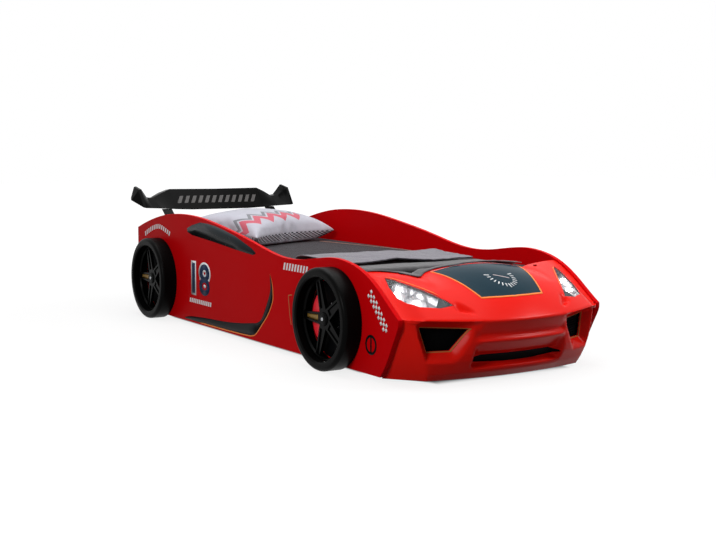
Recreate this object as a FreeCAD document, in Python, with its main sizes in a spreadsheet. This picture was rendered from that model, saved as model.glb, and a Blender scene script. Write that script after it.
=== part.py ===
import FreeCAD, Part
import math
import os
from FreeCAD import Placement, Rotation, Vector

# A child's bed in the shape of a sports car. Millimetres, +Z up, the nose towards -Y.
# Right and left are the car's own, so the right side is at -X.
# The origin is on the floor, under the middle of the whole bed.

doc = FreeCAD.newDocument("CarBed")

drivingDimensions = {
    # overall
    "innerWidth": 920, "panelThickness": 18, "wheelbase": 1612, "noseReach": 567, "tailReach": 428,
    "panelLift": 20, "shellLift": 13, "clearance": 0.3,
    # frame and slats
    "tailOfPanel": 1885, "frontBoardReach": 178, "rearBoardHeight": 406, "frontBoardHeight": 325,
    "railWidth": 22, "railHeight": 45, "slatTop": 190, "slatThickness": 15, "slatWidth": 70,
    "slatCount": 13, "beamWidth": 60, "beamHeight": 40, "legWidth": 45,
    "bracketLeg": 40, "bracketWidth": 50, "bracketThickness": 2.5, "glideLength": 60, "glideWidth": 16,
    "screwHeadRadius": 4.5, "screwShankRadius": 2, "screwHeadHeight": 2.2,
    # wheels
    "wheelRadius": 195, "wheelDepth": 76.7, "tyreWall": 4, "rimRadius": 160, "rimInset": 30,
    "spokeDepth": 14, "spokeGroove": 5, "discRadius": 128, "capRadius": 27, "wheelScrewCircle": 56,
    # nose
    "shellThickness": 4, "hoodRear": 180, "creaseSweep": 109, "creaseHeight": 229,
    "creaseRise": 10, "domeHeight": 403, "lensThickness": 3, "housingDepth": 38, "meshThickness": 3,
    # spoiler
    "postReach": 300, "postLength": 46,
    # control box and lighting leads
    "boxLength": 120, "boxHeight": 58, "boxDepth": 32, "boxWall": 2.5, "boxBottom": 76,
    "leadDiameter": 4, "cableHoleRadius": 12,
    # bedding
    "mattressLength": 1998, "mattressWidth": 900, "mattressThickness": 158, "mattressCorner": 25,
    "sheetThickness": 6,
}
sheet = doc.addObject("Spreadsheet::Sheet", "Dims")
for row, (alias, value) in enumerate(drivingDimensions.items(), 1):
    sheet.set(f"A{row}", alias)
    sheet.set(f"B{row}", str(value))
    sheet.setAlias(f"B{row}", alias)
doc.recompute()


def dim(alias):
    return float(sheet.get(alias))


AXLE_Y = "(Dims.noseReach - Dims.wheelbase - Dims.tailReach) / 2"  # the front axle, from the origin
axleY = (dim("noseReach") - dim("wheelbase") - dim("tailReach")) / 2
innerHalf = dim("innerWidth") / 2
outerHalf = innerHalf + dim("panelThickness")
sides = {"right": -1, "left": 1}
subParts = []


def keep(part, label):
    """Names a finished sub-part, which is written under that name."""
    part.Label = label
    subParts.append(part)
    return part


def place(part, x="0", y="0", z="0"):
    """Binds a part's place to expressions; y counts from the front axle."""
    part.setExpression("Placement.Base.x", x)
    part.setExpression("Placement.Base.y", f"{AXLE_Y} + ({y})")
    part.setExpression("Placement.Base.z", z)


def makeBox(name, length, width, height, x, y, z):
    """A board or block: sizes and lowest corner are expressions on the sheet."""
    block = doc.addObject("Part::Box", name)
    for size, expression in (("Length", length), ("Width", width), ("Height", height)):
        block.setExpression(size, expression)
    place(block, x, y, z)
    return block


def makeRod(name, radius, height, base, direction):
    """A round bar along a direction, with its foot at a point counted from the front axle."""
    rod = doc.addObject("Part::Cylinder", name)
    rod.setExpression("Radius", radius)
    rod.setExpression("Height", height)
    rod.Placement = Placement(base + Vector(0, axleY, 0), Rotation(Vector(0, 0, 1), direction))
    return rod


def makeGroup(label, parts):
    """Several like pieces that share one node."""
    group = doc.addObject("Part::Compound", label)
    group.Links = parts
    return keep(group, label)


def shapeFeature(name, shape):
    """A part whose form neither sketches nor primitives give; the shape counts from the front axle."""
    feature = doc.addObject("Part::Feature", name)
    feature.Shape = shape
    feature.Placement = Placement(Vector(0, axleY, 0), Rotation())
    return feature


def cutFrom(name, base, tools):
    """Takes tool objects away from a base object."""
    if len(tools) > 1:
        tool = doc.addObject("Part::MultiFuse", name + "Tools")
        tool.Shapes = tools
    else:
        tool = tools[0]
    cut = doc.addObject("Part::Cut", name)
    cut.Base = base
    cut.Tool = tool
    return cut


def originPlane(body, role):
    return next(feature for feature in body.Origin.OriginFeatures if feature.Role == role)


def addSketch(body, role, offset=0.0):
    sketch = body.newObject("Sketcher::SketchObject", body.Name + "Sketch")
    sketch.AttachmentSupport = [(originPlane(body, role), "")]
    sketch.MapMode = "FlatFace"
    sketch.AttachmentOffset = Placement(Vector(0, 0, offset), Rotation())
    return sketch


def trace(sketch, start, steps):
    """Draws a closed outline. A step is an end point, an arc (middle, end) or a spline of points."""
    flat = [Vector(*start, 0)]
    for step in steps:
        here = flat[-1]
        if isinstance(step[0], (int, float)):
            curve = Part.LineSegment(here, Vector(*step, 0))
        elif len(step) == 2:
            curve = Part.Arc(here, Vector(*step[0], 0), Vector(*step[1], 0))
        else:
            curve = Part.BSplineCurve()
            curve.interpolate([here] + [Vector(*point, 0) for point in step])
        end = step if isinstance(step[0], (int, float)) else step[-1]
        flat.append(Vector(*end, 0))
        sketch.addGeometry(curve, False)


def solidOf(body, kind, sketch, **values):
    """Adds a pad, pocket, revolution or groove, with expressions for the values given as text."""
    feature = body.newObject("PartDesign::" + kind, body.Name + kind)
    feature.Profile = sketch
    for name, value in values.items():
        if isinstance(value, str) and value.startswith("="):
            feature.setExpression(name, value[1:])
        else:
            setattr(feature, name, value)
    sketch.Visibility = False
    return feature


def between(value, table):
    """Straight interpolation in a list of (position, value) in rising order."""
    if value <= table[0][0]:
        return table[0][1]
    for (x0, y0), (x1, y1) in zip(table, table[1:]):
        if value <= x1:
            return y0 + (y1 - y0) * (value - x0) / (x1 - x0)
    return table[-1][1]


def smooth(value, low, high):
    """0 below low, 1 above high, an easy curve between."""
    share = min(1.0, max(0.0, (value - low) / (high - low)))
    return share * share * (3 - 2 * share)


# ---- side panels, boards and slats

screwHoles = {}
unbored = {}

panelTop = [(1700, 477), (1513, 509), (1340, 518), (1140, 509), (942, 484), (661, 438), (506, 408),
            (378, 393), (250, 396), (120, 413), (10, 423), (-94, 415), (-163, 399), (-223, 375),
            (-297, 331), (-370, 277), (-423, 240)]
panelFront = [(-424, 230), (-405, 180), (-382, 135), (-350, 75), (-310, 20)]
panelRearHeight = 426.5


def makeSidePanel(name, side):
    """A lacquered board whose top follows the car's waistline."""
    body = doc.addObject("PartDesign::Body", "SidePanel" + name.title())
    sketch = addSketch(body, "YZ_Plane")
    tail, lift = dim("tailOfPanel"), dim("panelLift")
    trace(sketch, (tail, lift), [(tail, panelRearHeight), panelTop, panelFront, (tail, lift)])
    solidOf(body, "Pad", sketch, Length="=Dims.panelThickness", Reversed=side < 0)
    place(body, f"{side} * Dims.innerWidth / 2")
    return body


for name, side in sides.items():
    unbored["side_panel_" + name] = makeSidePanel(name, side)

rearBoard = makeBox("RearBoard", "Dims.innerWidth", "Dims.panelThickness", "Dims.rearBoardHeight",
                    "-Dims.innerWidth / 2", "Dims.tailOfPanel - Dims.panelThickness", "Dims.panelLift")
unbored["rear_board"] = rearBoard

frontBoardBlank = makeBox("FrontBoardBlank", "Dims.innerWidth", "Dims.panelThickness",
                          "Dims.frontBoardHeight", "-Dims.innerWidth / 2", "-Dims.frontBoardReach",
                          "Dims.panelLift")
boxCentre = dim("boxBottom") + dim("boxHeight") / 2
boardFrontY = -dim("frontBoardReach")
boardRearY = boardFrontY + dim("panelThickness")
cableHole = makeRod("CableHole", "Dims.cableHoleRadius", "Dims.panelThickness + 2",
                    Vector(0, boardFrontY - 1, boxCentre), Vector(0, 1, 0))
unbored["front_board"] = cutFrom("FrontBoard", frontBoardBlank, [cableHole])

cavityLength = "(Dims.tailOfPanel - 2 * Dims.panelThickness + Dims.frontBoardReach)"
cavityFront = "(Dims.panelThickness - Dims.frontBoardReach)"
railTop = "(Dims.slatTop - Dims.slatThickness)"
for name, side in sides.items():
    x = "-Dims.innerWidth / 2" if side < 0 else "Dims.innerWidth / 2 - Dims.railWidth"
    rail = makeBox("SideRail" + name.title(), "Dims.railWidth", cavityLength + " - 2", "Dims.railHeight",
                   x, cavityFront + " + 1", railTop + " - Dims.railHeight")
    unbored["side_rail_" + name] = rail
beam = makeBox("CentreBeam", "Dims.beamWidth", cavityLength + " - 2", "Dims.beamHeight",
               "-Dims.beamWidth / 2", cavityFront + " + 1", railTop + " - Dims.beamHeight")
keep(beam, "centre_beam")

cavityLengthValue = dim("tailOfPanel") - 2 * dim("panelThickness") + dim("frontBoardReach")
cavityFrontValue = dim("panelThickness") - dim("frontBoardReach")
legs = []
for number, share in enumerate((0.18, 0.5, 0.82), 1):
    legs.append(makeBox(f"CentreLeg{number}", "Dims.legWidth", "Dims.legWidth",
                        railTop + " - Dims.beamHeight", "-Dims.legWidth / 2",
                        f"{cavityFront} + {share} * {cavityLength} - Dims.legWidth / 2", "0"))
makeGroup("centre_legs", legs)

slats = []
for number in range(int(dim("slatCount"))):
    y = f"{cavityFront} + 20 + {number} * ({cavityLength} - 40 - Dims.slatWidth) / (Dims.slatCount - 1)"
    slats.append(makeBox(f"Slat{number + 1}", "Dims.innerWidth - 4", "Dims.slatWidth",
                         "Dims.slatThickness", "2 - Dims.innerWidth / 2", y, railTop))
makeGroup("bed_slats", slats)


def driveScrew(name, seat, direction, length, *pieces):
    """A pan-head screw: the head sits at seat, and the shank fills a hole in each piece named."""
    for piece in pieces:
        screwHoles.setdefault(piece, []).append((seat, direction, length))
    head = makeRod(name + "Head", "Dims.screwHeadRadius", "Dims.screwHeadHeight", seat, direction * -1)
    shank = makeRod(name + "Shank", "Dims.screwShankRadius", str(length), seat, direction)
    screw = doc.addObject("Part::MultiFuse", name)
    screw.Shapes = [head, shank]
    return screw


def bored(piece, base):
    """Takes the holes of a piece's screws out of it."""
    overrun = 0.01
    rods = []
    for number, (seat, direction, length) in enumerate(screwHoles[piece]):
        rods.append(makeRod(f"{base.Name}Hole{number}", "Dims.screwShankRadius", str(length + overrun),
                            seat - direction * overrun, direction))
    return cutFrom(base.Name + "Bored", base, rods)


railScrews = []
railMiddle = dim("slatTop") - dim("slatThickness") - dim("railHeight") / 2
for name, side in sides.items():
    for number in range(6):
        y = cavityFrontValue + 130 + number * (cavityLengthValue - 260) / 5
        seat = Vector(side * (innerHalf - dim("railWidth")), y, railMiddle)
        railScrews.append(driveScrew(f"RailScrew{name.title()}{number}", seat, Vector(side, 0, 0), 34,
                                     "side_rail_" + name, "side_panel_" + name))
makeGroup("rail_screws", railScrews)


def makeCornerBracket(name, side, boardFaceY, towards):
    """A steel angle between a side panel and a cross board."""
    body = doc.addObject("PartDesign::Body", name)
    sketch = addSketch(body, "XY_Plane")
    leg, thick = dim("bracketLeg"), dim("bracketThickness")
    corner = [(leg, 0), (leg, thick), (thick, thick), (thick, leg), (0, leg), (0, 0)]
    trace(sketch, (0, 0), [(-side * x, towards * y) for x, y in corner])
    solidOf(body, "Pad", sketch, Length="=Dims.bracketWidth")
    place(body, f"{side} * Dims.innerWidth / 2", str(boardFaceY), "62")
    return body


brackets, bracketScrews = [], []
for name, side in sides.items():
    for end, faceY, towards in (("Rear", dim("tailOfPanel") - dim("panelThickness"), -1),
                                ("Front", boardRearY, 1)):
        stem = f"Bracket{end}{name.title()}"
        bracket = makeCornerBracket(stem, side, faceY, towards)
        thick = dim("bracketThickness")
        for z in (74, 100):
            panelSeat = Vector(side * (innerHalf - thick), faceY + towards * 24, z)
            boardSeat = Vector(side * (innerHalf - 24), faceY + towards * thick, z)
            bracketScrews.append(driveScrew(f"{stem}Panel{z}", panelSeat, Vector(side, 0, 0), 14, stem,
                                            "side_panel_" + name))
            bracketScrews.append(driveScrew(f"{stem}Board{z}", boardSeat, Vector(0, -towards, 0), 14, stem,
                                            end.lower() + "_board"))
        brackets.append(bored(stem, bracket))
makeGroup("corner_brackets", brackets)
makeGroup("bracket_screws", bracketScrews)

glides = []
for name, side in sides.items():
    for number, y in enumerate((5, 95, 1617, 1707)):
        x = f"{side} * (Dims.innerWidth + Dims.panelThickness) / 2 - Dims.glideWidth / 2"
        glides.append(makeBox(f"Glide{name.title()}{number}", "Dims.glideWidth", "Dims.glideLength",
                              "Dims.panelLift", x, str(y), "0"))
makeGroup("foot_glides", glides)


# ---- wheels: fixed mouldings screwed to the side panels

def wheelPlace(body, side, end):
    """The wheel is drawn with its depth along +X; the right one is turned over about Y."""
    body.Placement = Placement(Vector(0, 0, 0), Rotation(Vector(0, 1, 0), 180 if side < 0 else 0))
    reach = f"{side} * (Dims.innerWidth / 2 + Dims.panelThickness)"
    place(body, reach, "Dims.wheelbase" if end == "rear" else "0", "Dims.wheelRadius")


def turned(body, start, steps):
    """Revolves an outline of (depth, radius) steps about the wheel's own axis."""
    sketch = addSketch(body, "XY_Plane")
    trace(sketch, start, steps + [start])
    solidOf(body, "Revolution", sketch, Angle=360.0, ReferenceAxis=(sketch, ["H_Axis"]))


def makeTyre(label, side, end):
    """A hollow ring: tread, rounded shoulder, side wall and the inner wall that the rim closes."""
    body = doc.addObject("PartDesign::Body", label.title().replace("_", ""))
    radius, depth, wall, rim = (dim(key) for key in ("wheelRadius", "wheelDepth", "tyreWall", "rimRadius"))
    back, seat = dim("clearance"), depth - dim("rimInset")
    turned(body, (back, radius - wall), [
        (back, radius - 2), (back + 2, radius), (depth - 16, radius),
        ((depth - 4.5, radius - 5), (depth, radius - 17)),
        (depth, rim + 6), (depth - 5, rim), (seat, rim), (seat, rim + wall),
        (depth - 7, rim + wall), (depth - wall, rim + wall + 4), (depth - wall, radius - 18),
        ((depth - 8, radius - 9), (depth - 17, radius - wall))])
    wheelPlace(body, side, end)
    return keep(body, label)


spokeCount = 5


def makeRim(label, side, end):
    """A barrel, a flange and five split spokes round a hub."""
    body = doc.addObject("PartDesign::Body", label.title().replace("_", ""))
    rim, depth = dim("rimRadius") - dim("clearance"), dim("wheelDepth") - dim("rimInset")
    face = depth - 2
    turned(body, (6, rim), [(face + 1, rim), (face + 1, rim - 10), (face - 6, rim - 14),
                            (face - 8, rim - 5), (6, rim - 5)])
    hub = addSketch(body, "YZ_Plane", face - dim("spokeDepth"))
    hub.addGeometry(Part.Circle(Vector(0, 0, 0), Vector(0, 0, 1), 34), False)
    solidOf(body, "Pad", hub, Length="=Dims.spokeDepth")
    spoke = addSketch(body, "YZ_Plane", face - dim("spokeDepth"))
    reach, root = rim - 7, 26
    trace(spoke, (root, -23), [(reach, -14), (reach, 14), (root, 23), (root, -23)])
    beam = solidOf(body, "Pad", spoke, Length="=Dims.spokeDepth")
    doc.recompute()
    groove = addSketch(body, "YZ_Plane", face)
    trace(groove, (root + 16, -14), [(reach - 8, -7), (reach - 8, 7), (root + 16, 14), (root + 16, -14)])
    channel = solidOf(body, "Pocket", groove, Length="=Dims.spokeGroove")
    doc.recompute()
    pattern = body.newObject("PartDesign::PolarPattern", body.Name + "Spokes")
    pattern.Originals = [beam, channel]
    pattern.Axis = (originPlane(body, "X_Axis"), [""])
    pattern.Angle = 360
    pattern.Occurrences = spokeCount
    body.Tip = pattern
    wheelPlace(body, side, end)
    return keep(body, label)


def makeBrakeDisc(label, side, end):
    """The plate that closes the wheel behind, with the raised disc the calliper grips."""
    body = doc.addObject("PartDesign::Body", label.title().replace("_", ""))
    back, disc, hub = dim("clearance"), dim("discRadius"), 41
    turned(body, (back, 0), [(back, 152), (3.3, 152), (3.3, disc + 2), (9, disc), (9, hub + 8),
                             (5, hub + 4), (5, hub), (28, hub - 8), (28, 0)])
    doc.recompute()
    return body


calliper = {"inner": 62, "outer": 114, "halfAngle": 50, "front": 0, "rear": 162, "depth": 17, "back": 9.3}


def makeCalliper(label, side, end):
    """An arc-shaped block over the disc: level behind the front hub, ahead of the rear one and raised."""
    body = doc.addObject("PartDesign::Body", label.title().replace("_", ""))
    sketch = addSketch(body, "YZ_Plane", calliper["back"])

    def at(radius, degrees):
        angle = math.radians(calliper[end] + degrees)
        return (radius * math.cos(angle), side * radius * math.sin(angle))

    inner, outer, half = calliper["inner"], calliper["outer"], calliper["halfAngle"]
    trace(sketch, at(inner, -half), [at(outer, 4 - half), (at(outer, 0), at(outer, half - 4)),
                                     at(inner, half), (at(inner, 0), at(inner, -half))])
    solidOf(body, "Pad", sketch, Length=float(calliper["depth"]))
    wheelPlace(body, side, end)
    return keep(body, label)


hubCaps, wheelScrews = [], []
for end in ("front", "rear"):
    for name, side in sides.items():
        tag = f"{end}_{name}"
        makeTyre("wheel_tyre_" + tag, side, end)
        makeRim("wheel_rim_" + tag, side, end)
        makeCalliper("brake_calliper_" + tag, side, end)
        disc = makeBrakeDisc("brakePlate_" + tag, side, end)
        wheelPlace(disc, side, end)
        axle = Vector(0, dim("wheelbase") if end == "rear" else 0, dim("wheelRadius"))
        for number in range(3):
            angle = math.radians(90 + 120 * number)
            circle = dim("wheelScrewCircle")
            seat = axle + Vector(side * (outerHalf + 9), circle * math.cos(angle), circle * math.sin(angle))
            stem = f"WheelScrew{end.title()}{name.title()}{number}"
            wheelScrews.append(driveScrew(stem, seat, Vector(-side, 0, 0), 24, "brake_disc_" + tag,
                                          "side_panel_" + name))
        unbored["brake_disc_" + tag] = disc
        cap = doc.addObject("PartDesign::Body", "HubCap" + end.title() + name.title())
        radius, face = dim("capRadius"), dim("wheelDepth") - dim("rimInset") - 2
        turned(cap, (face, 0), [(face, radius), (face + 4, radius - 2), (face + 7, radius - 9),
                                (face + 8, 0)])
        wheelPlace(cap, side, end)
        hubCaps.append(cap)
makeGroup("hub_caps", hubCaps)
makeGroup("wheel_screws", wheelScrews)


# ---- nose: one vacuum-formed shell over the foot end

bonnetStations = [0, 60, 120, 165, 190, 215, 240, 262, 290, 320, 350, 380, 400, 420, 440, 459]
stationList = [-a for a in reversed(bonnetStations[1:])] + bonnetStations
fenderTop = sorted((-y, z) for y, z in panelTop + [(-460, 215)] if y < 60)
panelFrontAt = sorted((z, -y) for y, z in panelFront + [(-423, 240)])


def creaseReach(a):
    return dim("noseReach") - dim("creaseSweep") * (a / 425) ** 2


def creaseLevel(a):
    return dim("creaseHeight") + dim("creaseRise") * (a / 425) ** 2


def shellEdge(z):
    """How far forward the shell's side edge stands, just behind the panel's front edge."""
    return between(z, panelFrontAt) - 12


def hoodHeight(a, d):
    """The hood over a point a from the middle and d ahead of the front axle."""
    reach = creaseReach(a)
    t = min(1.0, (d - dim("hoodRear")) / (reach - dim("hoodRear")))
    bend = 2.1 - 0.9 * (a / 455) ** 1.5
    dome = dim("domeHeight") - 18 * (a / 190) ** 2
    fender = 386 - 4 * ((455 - a) / 80) ** 2
    valley = 10 * math.exp(-(((a - 262) / 22) ** 2))
    even = dim("domeHeight") - 17 * (a / 455) ** 2
    share = max(0.0, 1 - t / 0.6)
    rear = share * (max(dome, fender) - valley) + (1 - share) * even
    height = creaseLevel(a) + (rear - creaseLevel(a)) * (1 - max(0.0, t) ** bend)
    blend = smooth(a, 385, 459)
    return height * (1 - blend) + blend * (between(d, fenderTop) - 6)


def hoodEnd(a):
    """Where the hood meets the crease; it turns back beside the panel."""
    return creaseReach(a) + (shellEdge(238) - creaseReach(459)) * smooth(a, 421, 459)


intakeRim = [(219, 232), (421, 236), (412, 177), (397, 128), (382, 85), (280, 79), (248, 129), (225, 172)]
intakeHole = [(229, 200), (384, 206), (360, 121), (288, 124)]
barRows = [(13, 5), (40, 7), (54, 3), (69, -32), (74, -35), (103, -35), (110, -24), (157, 14), (177, -4),
           (229, 27)]
leanRows = [(13, 71), (40, 45), (62, 30), (86, 14), (112, 5), (150, 0)]
cornerRows = [(13, 359), (85, 380), (128, 397), (177, 412), (234, 421)]


def rimReach(a):
    return 545 - 0.00055 * a * a


def baseReach(a, z):
    """The bumper's plain face, which leans back towards its bottom edge."""
    return rimReach(a) - between(z, leanRows) * (1 - 0.34 * (a / 359) ** 2)


def distanceTo(point, polygon):
    """Distance to a polygon's edge, and whether the point is inside."""
    x, z = point
    inside, best = False, 1e9
    for (x0, z0), (x1, z1) in zip(polygon, polygon[1:] + polygon[:1]):
        along = ((x - x0) * (x1 - x0) + (z - z0) * (z1 - z0)) / ((x1 - x0) ** 2 + (z1 - z0) ** 2)
        along = min(1.0, max(0.0, along))
        best = min(best, math.hypot(x - x0 - along * (x1 - x0), z - z0 - along * (z1 - z0)))
        if (z0 > z) != (z1 > z) and x < x0 + (z - z0) * (x1 - x0) / (z1 - z0):
            inside = not inside
    return best, inside


def faceReach(a, z):
    """The bumper's face: the bar and slot in the middle, a sunk intake each side, a plain end."""
    base = baseReach(a, z)
    middle = base - 5 + between(z, barRows)
    outer = base
    toRim, inRim = distanceTo((a, z), intakeRim)
    if inRim:
        toHole, inHole = distanceTo((a, z), intakeHole)
        sunk = 494 - 0.516 * (a - 225)
        share = 1.0 if inHole else toRim / (toRim + toHole)
        outer = base + (sunk - base) * share
    face = middle + (outer - middle) * smooth(a, 188, 216)
    edge = between(z, cornerRows)
    if a > edge:
        share = (a - edge) / (459 - edge)
        return baseReach(edge, z) + (shellEdge(z) - baseReach(edge, z)) * share
    return face


faceLevels = [0.93, 0.84, 0.73, 0.63, 0.49, 0.405, 0.275, 0.19, 0.115, 0.0]
hoodShares = [0, 0.2, 0.4, 0.6, 0.75, 0.88, 1]


def outerProfile(a):
    """Points (reach, height) from the hood's rear edge over the crease to the bottom edge."""
    rear, end = dim("hoodRear"), hoodEnd(a)
    points = [(rear + share * (end - rear), hoodHeight(a, rear + share * (end - rear)))
              for share in hoodShares[:-1]]
    top, low = creaseLevel(a), dim("shellLift")
    points.append((end, top))
    for level in faceLevels:
        z = low + level * (top - low)
        points.append((min(faceReach(a, z), end - 3), z))
    return points


def insetProfile(points, thickness):
    """The same profile, one wall thickness further in: under the hood, then behind the face."""
    crease = len(hoodShares) - 1
    inner = []
    for index, (d, z) in enumerate(points):
        before, after = points[max(0, index - 1)], points[min(len(points) - 1, index + 1)]
        if index < crease:
            slope = (after[1] - z) / (after[0] - d)
            inner.append((d, z - thickness * math.hypot(1, slope)))
        elif index == crease:
            inner.append((d - 4 * thickness, z + thickness / 2))
        else:
            slope = (before[0] - after[0]) / (before[1] - after[1])
            inner.append((d - thickness * min(3, math.hypot(1, slope)), z))
    return inner


def sectionWire(a, side, points):
    """A closed section of the shell at one distance from the middle."""
    return Part.makePolygon([Vector(side * a, -d, z) for d, z in points + points[:1]])


def makeShell():
    wires = []
    for x in stationList:
        outer = outerProfile(abs(x))
        inner = insetProfile(outer, dim("shellThickness"))
        wires.append(sectionWire(abs(x), 1 if x >= 0 else -1, outer + inner[::-1]))
    return Part.makeLoft(wires, True, True)


lensOutline = [(410, 236), (385, 262), (353, 311), (322, 360), (292, 410), (262, 460), (318, 452),
               (381, 418), (408, 379), (424, 337), (424, 285)]


def hoodLayer(side, upper, lower):
    """A slab that follows the hood, between two depths under its surface, over a headlight."""
    wires = []
    for a in range(230, 460, 15):
        line = [(d, hoodHeight(a, d)) for d in range(215, 481, 15)]
        ring = [(d, z - upper) for d, z in line] + [(d, z - lower) for d, z in reversed(line)]
        wires.append(sectionWire(a, side, ring))
    return Part.makeLoft(wires, True, True)


def outlinePrism(side, grow, low=200.0, high=420.0):
    """An upright prism over the headlight's outline, made larger or smaller all round."""
    face = Part.Face(Part.makePolygon([Vector(side * a, -d, low) for a, d in lensOutline + lensOutline[:1]]))
    if grow:
        face = Part.Face(face.makeOffset2D(grow, 2).OuterWire)
    return face.extrude(Vector(0, 0, high - low))


def intakePrism(side, grow):
    points = [Vector(side * a, -300, z) for a, z in intakeHole + intakeHole[:1]]
    face = Part.Face(Part.makePolygon(points))
    if grow:
        face = Part.Face(face.makeOffset2D(grow, 2).OuterWire)
    return face.extrude(Vector(0, -260, 0))


slotOutline = [(-212, 80), (-185, 74), (-60, 69), (60, 69), (185, 74), (212, 80), (205, 88), (160, 101),
               (-160, 101), (-205, 88)]
hoodScrewAt = (324, 217)

shellBlank = shapeFeature("NoseShellBlank", makeShell())
openings = []
for name, side in sides.items():
    openings.append(shapeFeature("LensOpening" + name.title(), outlinePrism(side, 0)))
    openings.append(shapeFeature("IntakeOpening" + name.title(), intakePrism(side, 0)))
    a, d = hoodScrewAt
    openings.append(makeRod("HoodScrewHole" + name.title(), "Dims.screwShankRadius + 0.5", "40",
                            Vector(side * a, -d, hoodHeight(a, d) - 20), Vector(0, 0, 1)))
slotFace = Part.Face(Part.makePolygon([Vector(x, -440, z) for x, z in slotOutline + slotOutline[:1]]))
openings.append(shapeFeature("SlotOpening", slotFace.extrude(Vector(0, -120, 0))))
keep(cutFrom("NoseShell", shellBlank, openings), "nose_shell")

# the lens drops into its opening; the housing laps the opening's edge from below
lensSink, lensGap, housingLap, housingWall = 0.5, 0.6, 5, 2.5
housingGap = dim("shellThickness") + 4.5
for name, side in sides.items():
    lens = hoodLayer(side, lensSink, lensSink + dim("lensThickness")).common(outlinePrism(side, -lensGap))
    keep(shapeFeature("HeadlightLens" + name.title(), lens), "headlight_lens_" + name)
    floor = housingGap + dim("housingDepth")
    bowl = hoodLayer(side, housingGap, floor).common(outlinePrism(side, housingLap))
    hollow = hoodLayer(side, housingGap - 1, floor - housingWall)
    hollow = hollow.common(outlinePrism(side, housingLap - housingWall))
    keep(shapeFeature("HeadlightHousing" + name.title(), bowl.cut(hollow)), "headlight_housing_" + name)

intakeLean = math.degrees(math.atan(0.516))
for name, side in sides.items():
    mesh = doc.addObject("PartDesign::Body", "IntakeMesh" + name.title())
    sketch = addSketch(mesh, "XZ_Plane")
    stretch = 1 / math.cos(math.radians(intakeLean))
    plate = [(side * (a - 225) * stretch, z) for a, z in ((222, 212), (394, 216), (370, 112), (278, 114))]
    trace(sketch, plate[0], plate[1:] + plate[:1])
    solidOf(mesh, "Pad", sketch, Length="=Dims.meshThickness", Reversed=True)
    mesh.Placement = Placement(Vector(side * 225, axleY - 482, 0), Rotation(Vector(0, 0, 1), side * intakeLean))
    keep(mesh, "intake_mesh_" + name)

# the grille follows the back of the slot's wall
grille = {"low": 61, "high": 109, "half": 215, "gap": 2.2, "levels": (75, 100)}
wires = []
for x in [x for x in stationList if abs(x) <= grille["half"]]:
    lower, upper = (faceReach(abs(x), level) for level in grille["levels"])
    lean = (upper - lower) / (grille["levels"][1] - grille["levels"][0])
    inset = dim("shellThickness") + grille["gap"]
    low, high = (lower + lean * (grille[end] - grille["levels"][0]) - inset for end in ("low", "high"))
    thick = dim("meshThickness")
    corners = [(low, grille["low"]), (high, grille["high"]), (high - thick, grille["high"]),
               (low - thick, grille["low"])]
    wires.append(sectionWire(abs(x), 1 if x >= 0 else -1, corners))
keep(shapeFeature("LowerGrille", Part.makeLoft(wires, True, True)), "lower_grille")

ledPlaces = [(398, 300), (365, 372)]
led = {"baseRadius": 15, "baseThickness": 4, "lift": 14, "domeFoot": 12, "domeTop": 9, "domeHeight": 7,
       "stripRadius": 3}
for name, side in sides.items():
    floorGap = housingGap + dim("housingDepth") - housingWall
    pieces, middles = [], []
    for number, (a, d) in enumerate(ledPlaces):
        base = Vector(side * a, -d, hoodHeight(a, d) - floorGap + led["lift"])
        pieces.append(makeRod(f"LedBase{name.title()}{number}", str(led["baseRadius"]),
                              str(led["baseThickness"]), base, Vector(0, 0, 1)))
        dome = doc.addObject("Part::Cone", f"LedDome{name.title()}{number}")
        dome.Radius1, dome.Radius2, dome.Height = led["domeFoot"], led["domeTop"], led["domeHeight"]
        dome.Placement = Placement(base + Vector(0, axleY, led["baseThickness"]), Rotation())
        pieces.append(dome)
        middles.append(base + Vector(0, 0, led["baseThickness"] / 2))
    stripStart, stripEnd = middles
    run = stripEnd - stripStart
    pieces.append(makeRod(f"LedStrip{name.title()}", str(led["stripRadius"]), str(run.Length), stripStart,
                          run))
    module = doc.addObject("Part::MultiFuse", "LedModule" + name.title())
    module.Shapes = pieces
    keep(module, "led_module_" + name)

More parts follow.
